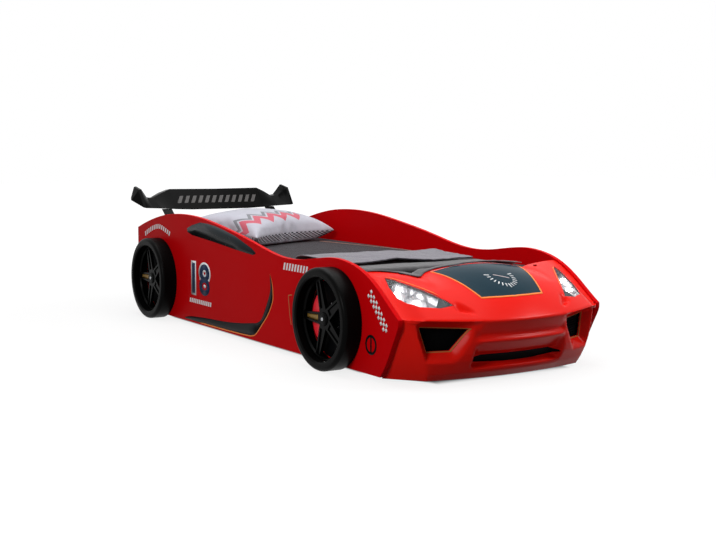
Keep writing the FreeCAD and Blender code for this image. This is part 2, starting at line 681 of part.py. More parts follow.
noseBrackets, noseScrews = [], []
blockDepth, blockLength = 24, 34
armGap, armReach, armHeight, armWidth = 3.2, 50, 60, 24
for name, side in sides.items():
    a, d = hoodScrewAt
    stem = "HoodBracket" + name.title()
    arm = doc.addObject("PartDesign::Body", stem)
    sketch = addSketch(arm, "YZ_Plane", -armWidth / 2)
    front, thick = boardFrontY, dim("bracketThickness")
    rear, ahead = dim("hoodRear"), dim("hoodRear") + hoodShares[1] * (hoodEnd(a) - dim("hoodRear"))
    underside = hoodHeight(a, rear) - dim("shellThickness") - armGap
    fall = armReach * (hoodHeight(a, rear) - hoodHeight(a, ahead)) / (ahead - rear)
    trace(sketch, (front, underside), [(front - armReach, underside - fall),
                                       (front - armReach, underside - fall - thick),
                                       (front - thick, underside - thick),
                                       (front - thick, underside - armHeight),
                                       (front, underside - armHeight), (front, underside)])
    solidOf(arm, "Pad", sketch, Length=float(armWidth))
    place(arm, str(side * a))
    hoodSeat = Vector(side * a, -d, hoodHeight(a, d) + 0.5)
    noseScrews.append(driveScrew("HoodScrew" + name.title(), hoodSeat, Vector(0, 0, -1), 13, stem))
    for z in (26, 46):
        seat = Vector(side * a, front - thick, underside - z)
        noseScrews.append(driveScrew(f"HoodBoardScrew{name.title()}{z}", seat, Vector(0, 1, 0), 14, stem,
                                     "front_board"))
    noseBrackets.append(bored(stem, arm))
    for level in (60, 185):
        stem = f"NoseBlock{name.title()}{level}"
        block = makeBox(stem, str(blockDepth), str(blockLength), str(blockDepth),
                        f"{side} * Dims.innerWidth / 2 - {blockDepth if side > 0 else 0}",
                        str(-(shellEdge(level) - 24)), str(level - blockDepth / 2))
        seat = Vector(side * (innerHalf - blockDepth), -(shellEdge(level) - 40), level)
        noseScrews.append(driveScrew(stem + "Screw", seat, Vector(side, 0, 0), 38, stem,
                                     "side_panel_" + name))
        noseBrackets.append(bored(stem, block))
makeGroup("nose_brackets", noseBrackets)
makeGroup("nose_screws", noseScrews)


# ---- rear spoiler

wingSections = [
    # reach from the middle, then (reach behind the axle, height) of the front-low, front-high,
    # rear-high and rear-low corners
    (0, (1913, 505), (1988, 609), (2038, 604), (1975, 517)),
    (161, (1913, 505), (1989, 610), (2039, 605), (1975, 517)),
    (256, (1912, 509), (1990, 611), (2040, 606), (1975, 520)),
    (300, (1911, 513), (1992, 592), (2040, 590), (1975, 523)),
    (345, (1909, 515), (1990, 567), (2040, 566), (1978, 525)),
    (385, (1905, 517), (1983, 567), (2040, 572), (1985, 527)),
    (408, (1902, 518), (1970, 592), (2036, 602), (2000, 533)),
    (425, (1900, 519), (1961, 612), (2031, 626), (2010, 545)),
    (438, (1903, 522), (1963, 611), (2030, 624), (2012, 550)),
    (464, (1985, 552), (1988, 565), (2008, 568), (2006, 556)),
]
wires = []
for x, section in [(-s[0], s[1:]) for s in reversed(wingSections[1:])] + [(s[0], s[1:]) for s in wingSections]:
    wires.append(Part.makePolygon([Vector(x, y, z) for y, z in section + section[:1]]))
keep(shapeFeature("SpoilerWing", Part.makeLoft(wires, True, True)), "spoiler_wing")

spoilerScrews = []
rearTop = dim("panelLift") + dim("rearBoardHeight")
postScrewLevel, postScrewHalf, postMiddleY = rearTop + 12, 14, dim("tailOfPanel") - dim("panelThickness") / 2
for name, side in sides.items():
    post = doc.addObject("PartDesign::Body", "SpoilerPost" + name.title())
    sketch = addSketch(post, "YZ_Plane", -dim("postLength") / 2)
    trace(sketch, (1867, rearTop), [(1885, rearTop), (1885, rearTop + 40), (1943, rearTop + 85.4),
                                    (1915.5, rearTop + 85.4), (1867, rearTop + 48), (1867, rearTop)])
    solidOf(post, "Pad", sketch, Length="=Dims.postLength")
    place(post, f"{side} * Dims.postReach")
    wells = []
    for number, offset in enumerate((-postScrewHalf, postScrewHalf)):
        seat = Vector(side * dim("postReach") + offset, postMiddleY, postScrewLevel)
        wells.append(makeRod(f"PostWell{name.title()}{number}", "Dims.screwHeadRadius + 0.5", "60", seat,
                             Vector(0, 0, 1)))
        spoilerScrews.append(driveScrew(f"SpoilerScrew{name.title()}{number}", seat, Vector(0, 0, -1), 42,
                                        "spoiler_post_" + name, "rear_board"))
    unbored["spoiler_post_" + name] = cutFrom("SpoilerPostWelled" + name.title(), post, wells)
makeGroup("spoiler_screws", spoilerScrews)


# ---- control box behind the front board, and the leads to the headlights

boxX, boxY = "-Dims.boxLength / 2", "Dims.panelThickness - Dims.frontBoardReach"
boxOuter = makeBox("ControlBoxBlank", "Dims.boxLength", "Dims.boxDepth - Dims.boxWall", "Dims.boxHeight",
                   boxX, boxY, "Dims.boxBottom")
boxHollow = makeBox("ControlBoxHollow", "Dims.boxLength - 2 * Dims.boxWall", "Dims.boxDepth",
                    "Dims.boxHeight - 2 * Dims.boxWall", boxX + " + Dims.boxWall", boxY + " + Dims.boxWall",
                    "Dims.boxBottom + Dims.boxWall")
boxGland = makeRod("ControlBoxGland", "Dims.cableHoleRadius - 1", "10",
                   Vector(0, boardRearY - 1, boxCentre), Vector(0, 1, 0))
inletPlace = Vector(34, boardRearY + 20, dim("boxBottom"))
inletHole = makeRod("InletHole", "5.6", "5", inletPlace - Vector(0, 0, 1), Vector(0, 0, 1))
keep(cutFrom("ControlBoxBase", boxOuter, [boxHollow, boxGland, inletHole]), "control_box_base")

# the rocker turns on two stub pins in lugs behind the cover
rocker = {"x": -30, "length": 20, "width": 13, "gap": 0.6, "pinRadius": 1.5, "pinReach": 2.4,
          "lugWidth": 3, "lugRadius": 3.5, "pivotDepth": 3.5}
lidY = boardRearY + dim("boxDepth") - dim("boxWall")
pivot = Vector(rocker["x"], lidY + dim("boxWall") - rocker["pivotDepth"], boxCentre)
holeHalf = rocker["width"] / 2 + rocker["gap"]
lid = makeBox("ControlBoxLid", "Dims.boxLength", "Dims.boxWall", "Dims.boxHeight", boxX,
              boxY + " + Dims.boxDepth - Dims.boxWall", "Dims.boxBottom")
lugs = []
for edge in (-holeHalf - rocker["lugWidth"], holeHalf):
    corner = pivot + Vector(edge, 0, -rocker["lugRadius"])
    foot = lidY - corner.y
    lugs.append(makeBox(f"RockerLug{len(lugs)}", str(rocker["lugWidth"]), str(rocker["lugRadius"] + foot),
                        str(2 * rocker["lugRadius"]), str(corner.x), str(corner.y - rocker["lugRadius"]),
                        str(corner.z)))
coverBlank = doc.addObject("Part::MultiFuse", "ControlBoxCoverBlank")
coverBlank.Shapes = [lid] + lugs
rockerHole = makeBox("RockerHole", str(2 * holeHalf), "10", str(rocker["length"] + 1.8),
                     str(rocker["x"] - holeHalf), str(lidY - 4), str(boxCentre - rocker["length"] / 2 - 0.9))
pinHole = makeRod("RockerPinHole", str(rocker["pinRadius"] + 0.1), "40", pivot - Vector(20, 0, 0),
                  Vector(1, 0, 0))
keep(cutFrom("ControlBoxCover", coverBlank, [rockerHole, pinHole]), "control_box_cover")

keyBody = doc.addObject("PartDesign::Body", "RockerKey")
sketch = addSketch(keyBody, "YZ_Plane", -rocker["width"] / 2)
half, sunk = rocker["length"] / 2, rocker["pivotDepth"]
trace(sketch, (-3.5, -half + 2.2), [(sunk + 1.2, -half), ((sunk + 2.0, 0), (sunk + 4.4, half - 0.6)),
                                    (-0.4, half - 2.4), ((-4.0, 0), (-3.5, -half + 2.2))])
solidOf(keyBody, "Pad", sketch, Length=float(rocker["width"]))
place(keyBody, str(pivot.x), str(pivot.y), str(pivot.z))
pinHalf = rocker["width"] / 2 + rocker["pinReach"]
rockerPin = makeRod("RockerPin", str(rocker["pinRadius"]), str(2 * pinHalf), pivot - Vector(pinHalf, 0, 0),
                    Vector(1, 0, 0))
rockerPart = doc.addObject("Part::MultiFuse", "PowerRocker")
rockerPart.Shapes = [keyBody, rockerPin]
keep(rockerPart, "power_rocker")

inletSocket = makeRod("InletBarrel", "5.5", "14", inletPlace, Vector(0, 0, 1))
inletFlange = makeRod("InletFlange", "7.5", "1.5", inletPlace, Vector(0, 0, -1))
inletBore = makeRod("InletBore", "2.8", "11.5", inletPlace - Vector(0, 0, 1.5), Vector(0, 0, 1))
inletBody = doc.addObject("Part::MultiFuse", "InletBody")
inletBody.Shapes = [inletSocket, inletFlange]
keep(cutFrom("DcInlet", inletBody, [inletBore]), "dc_inlet")

board = makeBox("ControlBoard", "Dims.boxLength - 12", "1.6", "Dims.boxHeight - 12", boxX + " + 6",
                boxY + " + 11", "Dims.boxBottom + 6")
keep(board, "control_board")

leadRoute = [(8, 150, 105), (8, 204, 105), (38, 199, 143), (75, 195, 165), (125, 195, 165),
             (172, 195, 184), (221, 195, 184), (262, 212, 198), (300, 240, 214), (334, 272, 232),
             (356, 300, 256), (368, 316, 290)]
clipPlaces = [(100, 165), (197, 184)]


def makeLead(points, radius):
    """A tube of straight runs joined by arcs that touch them."""
    edges, here, radii = [], points[0], []
    for before, corner, after in zip(points, points[1:], points[2:]):
        back, ahead = (before - corner), (after - corner)
        turn = math.pi - back.getAngle(ahead)
        shorter = min(back.Length, ahead.Length)
        bend = 0.45 * shorter / math.tan(turn / 2)
        radii.append(bend)
        trim = 0.45 * shorter
        start = corner + back.normalize() * trim
        end = corner + ahead.normalize() * trim
        centreLine = (start + end) * 0.5 - corner
        distance = bend / math.cos(turn / 2)
        middle = corner + centreLine.normalize() * (distance - bend)
        edges.append(Part.LineSegment(here, start).toShape())
        edges.append(Part.Arc(start, middle, end).toShape())
        here = end
    edges.append(Part.LineSegment(here, points[-1]).toShape())
    path = Part.Wire(edges)
    circle = Part.Wire(Part.makeCircle(radius, points[0], points[1] - points[0]))
    tube = path.makePipeShell([circle], True, False, 2)
    expected = path.Length * math.pi * radius ** 2
    print(f"lead: length {path.Length:.0f}, smallest radius {min(radii):.1f}, "
          f"volume {tube.Volume:.0f} of {expected:.0f}")
    return tube


for name, side in sides.items():
    route = [Vector(side * a, -d, z) for a, d, z in leadRoute]
    lead = makeLead(route, dim("leadDiameter") / 2)
    keep(shapeFeature("HeadlightLead" + name.title(), lead), "headlight_lead_" + name)

clips = []
for name, side in sides.items():
    for number, (a, z) in enumerate(clipPlaces):
        base = boardFrontY - 21
        clip = makeBox(f"ClipBlank{name.title()}{number}", "10", "21", "10", str(side * a - 5), str(base),
                       str(z - 5))
        bore = makeRod(f"ClipBore{name.title()}{number}", "Dims.leadDiameter / 2 + 0.1", "14",
                       Vector(side * a - 7, -195, z), Vector(1, 0, 0))
        clips.append(cutFrom(f"CableClip{name.title()}{number}", clip, [bore]))
makeGroup("cable_clips", clips)


# ---- bedding

def roundedBlock(name, length, width, height, corner, x, y, z):
    block = makeBox(name + "Blank", length, width, height, x, y, z)
    doc.recompute()
    soft = doc.addObject("Part::Fillet", name)
    soft.Base = block
    soft.Edges = [(index + 1, corner, corner) for index in range(len(block.Shape.Edges))]
    return soft


mattressX = "-Dims.mattressWidth / 2"
mattressY = "Dims.tailOfPanel - Dims.panelThickness - 4 - Dims.mattressLength"
mattress = roundedBlock("Mattress", "Dims.mattressWidth", "Dims.mattressLength", "Dims.mattressThickness",
                        dim("mattressCorner"), mattressX, mattressY, "Dims.slatTop + Dims.clearance")
keep(mattress, "mattress")

bedTop = dim("slatTop") + dim("clearance") + dim("mattressThickness")


def clothSlab(name, y0, y1, x0, x1, low, profile):
    """A layer across the bed: flat below, with a crowned outline of (y, height) points above."""
    wire = Part.makePolygon([Vector(x0, y0, low), Vector(x0, y1, low)]
                            + [Vector(x0, y, z) for y, z in profile] + [Vector(x0, y0, low)])
    return shapeFeature(name, Part.Face(wire).extrude(Vector(x1 - x0, 0, 0)))


sheetTop = bedTop + dim("sheetThickness")
bedspread = makeBox("Bedspread", "Dims.mattressWidth - 30", "Dims.mattressLength - 60",
                    "Dims.sheetThickness", mattressX + " + 15", mattressY + " + 30",
                    "Dims.slatTop + Dims.clearance + Dims.mattressThickness")
keep(bedspread, "bedspread")
keep(clothSlab("FoldedBlanket", -160, 352, -446, 215, sheetTop,
               [(352, sheetTop + 4), (330, sheetTop + 30), (180, sheetTop + 42), (40, sheetTop + 48),
                (-40, sheetTop + 38), (-70, sheetTop + 20), (-160, sheetTop + 14)]), "folded_blanket")

pillowCentre, pillowTurn = Vector(12, 1515, 0), 25
pillowCorner, pillowRise = 55, 170


def makePillow():
    """A crowned cushion: level sections that grow and shrink again towards the closed edges."""
    turn = Rotation(Vector(0, 0, 1), pillowTurn)
    wires = []
    for level in (0, 0.12, 0.3, 0.55, 0.8, 1):
        grow = math.sin(math.pi * (0.16 + 0.68 * level)) ** 0.6
        halfX, halfY = 335 * grow - 60 * level, 222 * grow - 45 * level
        points = []
        for step in range(16):
            quarter, angle = step // 4, math.radians(90 * (step // 4) + 30 * (step % 4))
            corner = Vector((halfX - pillowCorner) * (1 if quarter in (0, 3) else -1),
                            (halfY - pillowCorner) * (1 if quarter in (0, 1) else -1),
                            sheetTop + dim("clearance") + pillowRise * level)
            round_ = Vector(pillowCorner * math.cos(angle), pillowCorner * math.sin(angle), 0)
            points.append(pillowCentre + turn.multVec(corner + round_))
        wires.append(Part.makePolygon(points + points[:1]))
    return Part.makeLoft(wires, True, True)


keep(shapeFeature("Pillow", makePillow()), "pillow")


# ---- the pieces whose screw holes are all known now

for piece, base in unbored.items():
    keep(bored(piece, base), piece)


# ---- checks and files

doc.recompute()
for part in doc.Objects:
    if "Invalid" in part.State or "Error" in part.State:
        raise RuntimeError(f"{part.Name} failed: {part.State}")
for part in subParts:
    shape = part.Shape
    if shape.isNull() or not shape.isValid() or not shape.Solids:
        raise RuntimeError(f"{part.Label} has no valid solid")
os.makedirs("parts", exist_ok=True)
for part in subParts:
    part.Shape.exportStep(f"parts/{part.Label}.step")
print(len(subParts), "sub-parts written")
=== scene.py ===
import math
from contextlib import contextmanager

import bmesh
import bpy
from mathutils import Matrix, Vector, noise
from mathutils.bvhtree import BVHTree


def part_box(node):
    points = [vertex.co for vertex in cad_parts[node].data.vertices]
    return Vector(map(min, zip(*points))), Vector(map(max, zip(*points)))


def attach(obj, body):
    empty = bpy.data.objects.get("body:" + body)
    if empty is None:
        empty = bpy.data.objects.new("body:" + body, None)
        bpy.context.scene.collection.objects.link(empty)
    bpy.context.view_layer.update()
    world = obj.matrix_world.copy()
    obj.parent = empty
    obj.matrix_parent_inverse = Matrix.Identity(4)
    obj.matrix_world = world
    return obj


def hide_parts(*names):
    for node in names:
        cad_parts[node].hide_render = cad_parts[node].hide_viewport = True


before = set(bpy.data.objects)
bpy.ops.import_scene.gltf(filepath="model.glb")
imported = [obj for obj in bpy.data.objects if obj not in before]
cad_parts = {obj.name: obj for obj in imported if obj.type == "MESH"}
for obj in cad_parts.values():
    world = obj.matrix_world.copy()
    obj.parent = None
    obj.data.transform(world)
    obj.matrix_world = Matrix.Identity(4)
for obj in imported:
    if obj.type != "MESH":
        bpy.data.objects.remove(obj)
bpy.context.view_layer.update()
sides = {"right": -1, "left": 1}  # the car's own right and left

rimLow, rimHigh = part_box("wheel_rim_front_right")
rearRimLow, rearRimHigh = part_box("wheel_rim_rear_right")
axleY = (rimLow.y + rimHigh.y) / 2
axles = {"front": 0, "rear": ((rearRimLow.y + rearRimHigh.y) / 2 - axleY) * 1000}
axleHeight = 195


def at(x, y, z):
    # millimetres from the floor under the front axle, as a point of the frame
    return Vector((x / 1000, y / 1000 + axleY, z / 1000))


def toLinear(hexColour):
    channels = [int(hexColour[i:i + 2], 16) / 255 for i in (1, 3, 5)]
    return [c / 12.92 if c <= 0.04045 else ((c + 0.055) / 1.055) ** 2.4 for c in channels] + [1.0]


def between(value, table):
    # straight interpolation in a list of (position, value) in rising order
    if value <= table[0][0]:
        return table[0][1]
    for (x0, y0), (x1, y1) in zip(table, table[1:]):
        if value <= x1:
            return y0 + (y1 - y0) * (value - x0) / (x1 - x0)
    return table[-1][1]


def smooth(value, low, high):
    share = min(1.0, max(0.0, (value - low) / (high - low)))
    return share * share * (3 - 2 * share)


# camera, light and floor

camera = {"place": (-2821.8, -3775.8, 843.5), "yaw": -32.984, "pitch": -5.977, "roll": 0.3216,
          "focalPixels": 1191.2, "imageWidth": 716, "sensor": 36}


def makeCamera():
    yaw, pitch, roll = (math.radians(camera[key]) for key in ("yaw", "pitch", "roll"))
    ahead = Vector((-math.sin(yaw) * math.cos(pitch), math.cos(yaw) * math.cos(pitch), math.sin(pitch)))
    level = Vector((math.cos(yaw), math.sin(yaw), 0))
    upright = level.cross(ahead)
    right = level * math.cos(roll) + upright * math.sin(roll)
    up = upright * math.cos(roll) - level * math.sin(roll)
    lens = bpy.data.cameras.new("camera")
    lens.sensor_width = camera["sensor"]
    lens.lens = camera["sensor"] * camera["focalPixels"] / camera["imageWidth"]
    eye = bpy.data.objects.new("camera", lens)
    turned = Matrix((right, up, -ahead)).transposed().to_4x4()
    eye.matrix_world = Matrix.Translation(at(*camera["place"])) @ turned
    bpy.context.scene.collection.objects.link(eye)
    bpy.context.scene.camera = eye


def link(tree, source, socket):
    # joins a socket, or a node's first output, to another socket
    tree.links.new(source.outputs[0] if isinstance(source, bpy.types.Node) else source, socket)


def addNode(tree, kind, values=None, links=None, **settings):
    # one node with its settings, the values of its sockets and what feeds them
    node = tree.nodes.new(kind)
    for name, setting in settings.items():
        setattr(node, name, setting)
    for socket, value in (values or {}).items():
        node.inputs[socket].default_value = value
    for socket, source in (links or {}).items():
        link(tree, source, node.inputs[socket])
    return node


room = {"light": 0.13, "shown": 1.0,
        "lamps": {"overhead": {"power": 126, "place": (0, 0, 3.4), "size": (3.2, 4.2)},
                  "key": {"power": 92, "place": (-4.4, -2.4, 2.4), "size": (1.2, 1.2)},
                  "fill": {"power": 55, "place": (2.3, -2.1, 2.7), "size": (1.4, 0.7)}}}
# the shade values make a painted shadow: a fixed rectangle under the bed where the floor's glow drops
floorPaint = {"size": 40, "colour": "#6c6c6c", "glow": 0.83, "glowFades": (1.3, 4.0),
              "shadeHalf": (0.44, 1.19), "shadeCorner": 1.72, "shadeEdge": 0.94, "shadeGlow": 0.12}


def brightToEye(tree):
    # 1 for rays that show the room to the eye, in a mirror or through glass
    path = addNode(tree, "ShaderNodeLightPath").outputs
    seen = addNode(tree, "ShaderNodeMath", links={0: path["Is Camera Ray"], 1: path["Is Glossy Ray"]},
                   operation="MAXIMUM")
    return addNode(tree, "ShaderNodeMath", links={0: seen, 1: path["Is Transmission Ray"]},
                   operation="MAXIMUM")


def makeRoom():
    scene = bpy.context.scene
    scene.view_settings.view_transform = "Standard"
    scene.world = bpy.data.worlds.new("studio")
    scene.world.use_nodes = True
    tree = scene.world.node_tree
    background = tree.nodes["Background"]
    background.inputs["Color"].default_value = (1, 1, 1, 1)
    level = addNode(tree, "ShaderNodeMapRange", {3: room["light"], 4: room["shown"]}, {0: brightToEye(tree)})
    link(tree, level, background.inputs["Strength"])
    for name, lamp in room["lamps"].items():
        light = bpy.data.lights.new(name, "AREA")
        light.shape = "RECTANGLE"
        light.energy = lamp["power"]
        light.size, light.size_y = lamp["size"]
        holder = bpy.data.objects.new(name, light)
        holder.location = lamp["place"]
        holder.rotation_euler = (-Vector(lamp["place"])).to_track_quat("-Z", "Y").to_euler()
        scene.collection.objects.link(holder)


def makeFloor():
    # pale paint that glows to the eye, with a painted shadow under the bed where the glow drops
    half = floorPaint["size"] / 2
    floor = meshPiece("floor", [(-half, -half, 0), (half, -half, 0), (half, half, 0), (-half, half, 0)],
                      [(0, 1, 2, 3)])
    material, tree, shader, place = startMaterial("pale_floor_paint", {
        "Base Color": toLinear(floorPaint["colour"]), "Roughness": 0.9, "Specular IOR Level": 0.1,
        "Emission Color": (1, 1, 1, 1)})
    away = addNode(tree, "ShaderNodeVectorMath", links={0: place}, operation="LENGTH").outputs["Value"]
    near, far = floorPaint["glowFades"]
    ring = addNode(tree, "ShaderNodeMapRange", {1: near, 2: far, 3: floorPaint["glow"], 4: 1.0}, {0: away},
                   interpolation_type="SMOOTHSTEP")
    # 1 along the edge of the painted shadow, a rectangle with its corners cut off
    across, along = floorPaint["shadeHalf"]
    scaled = addNode(tree, "ShaderNodeVectorMath", {1: (1 / across, 1 / along, 0)}, {0: place},
                     operation="MULTIPLY")
    folded = addNode(tree, "ShaderNodeVectorMath", links={0: scaled}, operation="ABSOLUTE")
    parts = addNode(tree, "ShaderNodeSeparateXYZ", links={0: folded}).outputs
    both = {0: parts["X"], 1: parts["Y"]}
    total = addNode(tree, "ShaderNodeMath", links=both, operation="ADD")
    corner = addNode(tree, "ShaderNodeMath", {1: floorPaint["shadeCorner"]}, {0: total}, operation="DIVIDE")
    side = addNode(tree, "ShaderNodeMath", links=both, operation="MAXIMUM")
    outer = addNode(tree, "ShaderNodeMath", links={0: side, 1: corner}, operation="MAXIMUM")
    shade = addNode(tree, "ShaderNodeMapRange", {1: floorPaint["shadeEdge"], 3: floorPaint["shadeGlow"]},
                    {0: outer}, interpolation_type="SMOOTHSTEP")
    level = addNode(tree, "ShaderNodeMath", links={0: shade, 1: ring}, operation="MULTIPLY")
    glow = addNode(tree, "ShaderNodeMath", links={0: brightToEye(tree), 1: level}, operation="MULTIPLY")
    link(tree, glow, shader.inputs["Emission Strength"])
    floor.data.materials.append(material)


# helpers for pieces

def startMaterial(name, values):
    # a material, its nodes, its shader and the place that its patterns read
    material = bpy.data.materials.new(name)
    material.use_nodes = True
    tree = material.node_tree
    shader = tree.nodes["Principled BSDF"]
    for socket, value in values.items():
        shader.inputs[socket].default_value = value
    return material, tree, shader, addNode(tree, "ShaderNodeTexCoord").outputs["Object"]


def finishPiece(piece, materials, body="root", nodes=(), sharp=35):
    # shading, material and body, with the CAD nodes that the piece takes the place of hidden
    if piece.name not in bpy.context.scene.collection.objects:
        bpy.context.scene.collection.objects.link(piece)
    for material in materials if isinstance(materials, (list, tuple)) else [materials]:
        piece.data.materials.append(material)
    piece.data.shade_smooth()
    piece.data.set_sharp_from_angle(angle=math.radians(sharp))
    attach(piece, body)
    if nodes:
        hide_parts(*nodes)
    return piece


def meshPiece(name, points, faces):
    mesh = bpy.data.meshes.new(name)
    mesh.from_pydata(points, [], faces)
    mesh.update()
    piece = bpy.data.objects.new(name, mesh)
    bpy.context.scene.collection.objects.link(piece)
    return piece


def meshFrom(source, name):
    # a bmesh made into an object's mesh
    mesh = bpy.data.meshes.new(name)
    source.to_mesh(mesh)
    source.free()
    return bpy.data.objects.new(name, mesh)


@contextmanager
def editing(mesh):
    # a mesh opened for changes, then written back
    source = bmesh.new()
    source.from_mesh(mesh)
    yield source
    source.to_mesh(mesh)
    source.free()


def freeze(piece):
    # turns what the modifiers give into a plain mesh
    graph = bpy.context.evaluated_depsgraph_get()
    plain = bpy.data.meshes.new_from_object(piece.evaluated_get(graph))
    piece.modifiers.clear()
    piece.data = plain
    return piece


def thicken(piece, thickness, offset=-1.0, edgeMaterial=0):
    wall = piece.modifiers.new("thickness", "SOLIDIFY")
    wall.thickness = thickness / 1000
    wall.offset = offset
    wall.use_even_offset = True
    wall.material_offset_rim = edgeMaterial
    return wall


def softened(node, material, width, body="root", segments=3, shortest=1.5):
    # a copy of a CAD piece with its long sharp edges rounded over
    source = bmesh.new()
    source.from_mesh(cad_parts[node].data)
    bmesh.ops.remove_doubles(source, verts=source.verts, dist=1e-5)
    bmesh.ops.dissolve_limit(source, angle_limit=math.radians(0.5), verts=source.verts, edges=source.edges)
    edges = [edge for edge in source.edges if len(edge.link_faces) == 2
             and edge.calc_face_angle(0) > math.radians(38) and edge.calc_length() > shortest / 1000]
    bmesh.ops.bevel(source, geom=edges, offset=width / 1000, segments=segments, profile=0.5,
                    affect="EDGES", clamp_overlap=True)
    piece = meshFrom(source, node + "_finish")
    for layer in ("custom_normal", "UVMap"):
        if layer in piece.data.attributes:
            piece.data.attributes.remove(piece.data.attributes[layer])
    finishPiece(piece, material, body, [node])
    flat = piece.modifiers.new("flat faces stay flat", "WEIGHTED_NORMAL")
    flat.keep_sharp = True
    return piece


def curved(points, steps=5, closed=True):
    # a smooth line through the points
    count = len(points)
    line = []
    for index in range(count if closed else count - 1):
        p = [Vector(points[(index + k) % count] if closed else points[min(max(index + k, 0), count - 1)])
             for k in (-1, 0, 1, 2)]
        for step in range(steps):
            t = step / steps
            line.append(0.5 * (2 * p[1] + (p[2] - p[0]) * t + (2 * p[0] - 5 * p[1] + 4 * p[2] - p[3]) * t * t
                               + (3 * p[1] - p[0] - 3 * p[2] + p[3]) * t ** 3))
    if not closed:
        line.append(Vector(points[-1]))
    return line


def resampled(points, spacing, closed=False):
    # points along a line at an even spacing
    line = [Vector(p) for p in points] + ([Vector(points[0])] if closed else [])
    lengths = [(b - a).length for a, b in zip(line, line[1:])]
    total = sum(lengths)
    count = max(2, round(total / spacing))
    found, run, index = [], 0.0, 0
    for step in range(count + (0 if closed else 1)):
        target = min(total, step * total / count)
        while index < len(lengths) - 1 and run + lengths[index] < target:
            run += lengths[index]
            index += 1
        share = (target - run) / lengths[index] if lengths[index] else 0
        found.append(line[index].lerp(line[index + 1], min(1.0, share)))
    return found


def gridFaces(lines, count, closed=False, first=0):
    # the faces between neighbouring lines of points, each of them so many points long
    return [tuple(first + k for k in (here + i, here + i + 1, after + i + 1, after + i))
            for line in range(lines if closed else lines - 1)
            for here, after in [(line * count, (line + 1) % lines * count)] for i in range(count - 1)]


def ribbon(name, points, width, put, closed=False, spacing=6, taper=0.0):
    # a flat strip of tape along a line; put turns a flat point into a place on the surface
    line = resampled(points, spacing, closed)
    count = len(line)
    corners = []
    for index, here in enumerate(line):
        before = line[index - 1] if closed or index else here
        after = line[(index + 1) % count] if closed or index < count - 1 else here
        run = (after - before).normalized()
        half = width / 2
        if taper and not closed:
            half *= min(1.0, max(0.1, min(index, count - 1 - index) * spacing / taper))
        across = Vector((-run.y, run.x)) * half
        corners += [put(*(here + across)), put(*(here - across))]
    return meshPiece(name, corners, gridFaces(count, 2, closed))


def turnedTowards(piece, direction):
    # a flat piece's faces all look the way given
    mesh = piece.data
    total = sum((polygon.normal * polygon.area for polygon in mesh.polygons), Vector())
    if total.dot(direction) < 0:
        mesh.flip_normals()
    return piece


filmThickness = 0.3


def film(piece, direction, material, offset=-0.5):
    # a thin printed film that looks the way given
    thicken(turnedTowards(piece, direction), filmThickness, offset)
    finishPiece(piece, material)


def grown(outline, gap):
    # a convex outline moved out from its middle by a gap, or in by a negative one
    middle = Vector((sum(p[0] for p in outline), sum(p[1] for p in outline))) / len(outline)
    return [tuple(Vector(p) + (Vector(p) - middle).normalized() * gap) for p in outline]


def mirrored(outline, side):
    return [(side * a, b) for a, b in outline]


makeCamera()
makeRoom()
makeFloor()
print("camera and studio made")


# materials

def vary(made, pattern, tones=None, roughness=None, relief=None):
    # a pattern's dark and light drive a material's colour, roughness or relief
    tree, shader = made[1:3]
    if tones:
        tone = addNode(tree, "ShaderNodeMix", {6: tones[0], 7: tones[1]}, {0: pattern}, data_type="RGBA")
        link(tree, tone.outputs[2], shader.inputs["Base Color"])
    if roughness:
        level = addNode(tree, "ShaderNodeMapRange", {3: roughness[0], 4: roughness[1]}, {0: pattern})
        link(tree, level, shader.inputs["Roughness"])
    if relief:
        bump = addNode(tree, "ShaderNodeBump", {"Strength": relief[0], "Distance": relief[1]},
                       {"Height": pattern})
        link(tree, bump, shader.inputs["Normal"])


def textured(name, values, *patterns):
    # a material with patterns on it, each given as its kind of node, its settings and what it drives
    made = startMaterial(name, values)
    for kind, settings, drives in patterns:
        vary(made, addNode(made[1], kind, settings, {"Vector": made[3]}), **drives)
    return made[0]


def tonesOf(colour, darker, lighter):
    base = Vector(toLinear(colour)[:3])
    return (*(base * darker), 1), (*(base * lighter), 1)


def lacqueredBoard():
    # satin polyurethane lacquer sprayed on fibreboard: even deep red, a soft sheen and 2.4 mm orange peel
    return textured("satin_lacquer_on_fibreboard",
                    {"Base Color": toLinear("#cc030a"), "Specular IOR Level": 0.015},
                    ("ShaderNodeTexNoise", {"Scale": 420.0, "Detail": 2.0}, {"relief": (0.03, 0.0004)}),
                    ("ShaderNodeTexNoise", {"Scale": 3.5, "Detail": 3.0}, {"roughness": (0.33, 0.45)}))


def formedAbs():
    # vacuum-formed ABS sheet: saturated red, glossy, with the slight 60 mm waves of formed sheet
    return textured("vacuum_formed_red_abs",
                    {"Base Color": toLinear("#e8180e"), "Specular IOR Level": 0.05, "IOR": 1.52},
                    ("ShaderNodeTexNoise", {"Scale": 16.0, "Detail": 1.0}, {"relief": (0.12, 0.002)}),
                    ("ShaderNodeTexNoise", {"Scale": 5.0, "Detail": 3.0}, {"roughness": (0.2, 0.3)}))


def blackMoulding(name, colour, roughness, specular, grain=900.0, strength=0.04):
    # injection-moulded black ABS: polished or lightly sparked, with faint swirls in the gloss
    return textured(name, {"Base Color": toLinear(colour), "Specular IOR Level": specular, "IOR": 1.52},
                    ("ShaderNodeTexNoise", {"Scale": grain, "Detail": 2.0}, {"relief": (strength, 0.0003)}),
                    ("ShaderNodeTexNoise", {"Scale": 9.0, "Detail": 4.0},
                     {"roughness": (roughness * 0.8, roughness * 1.25)}))


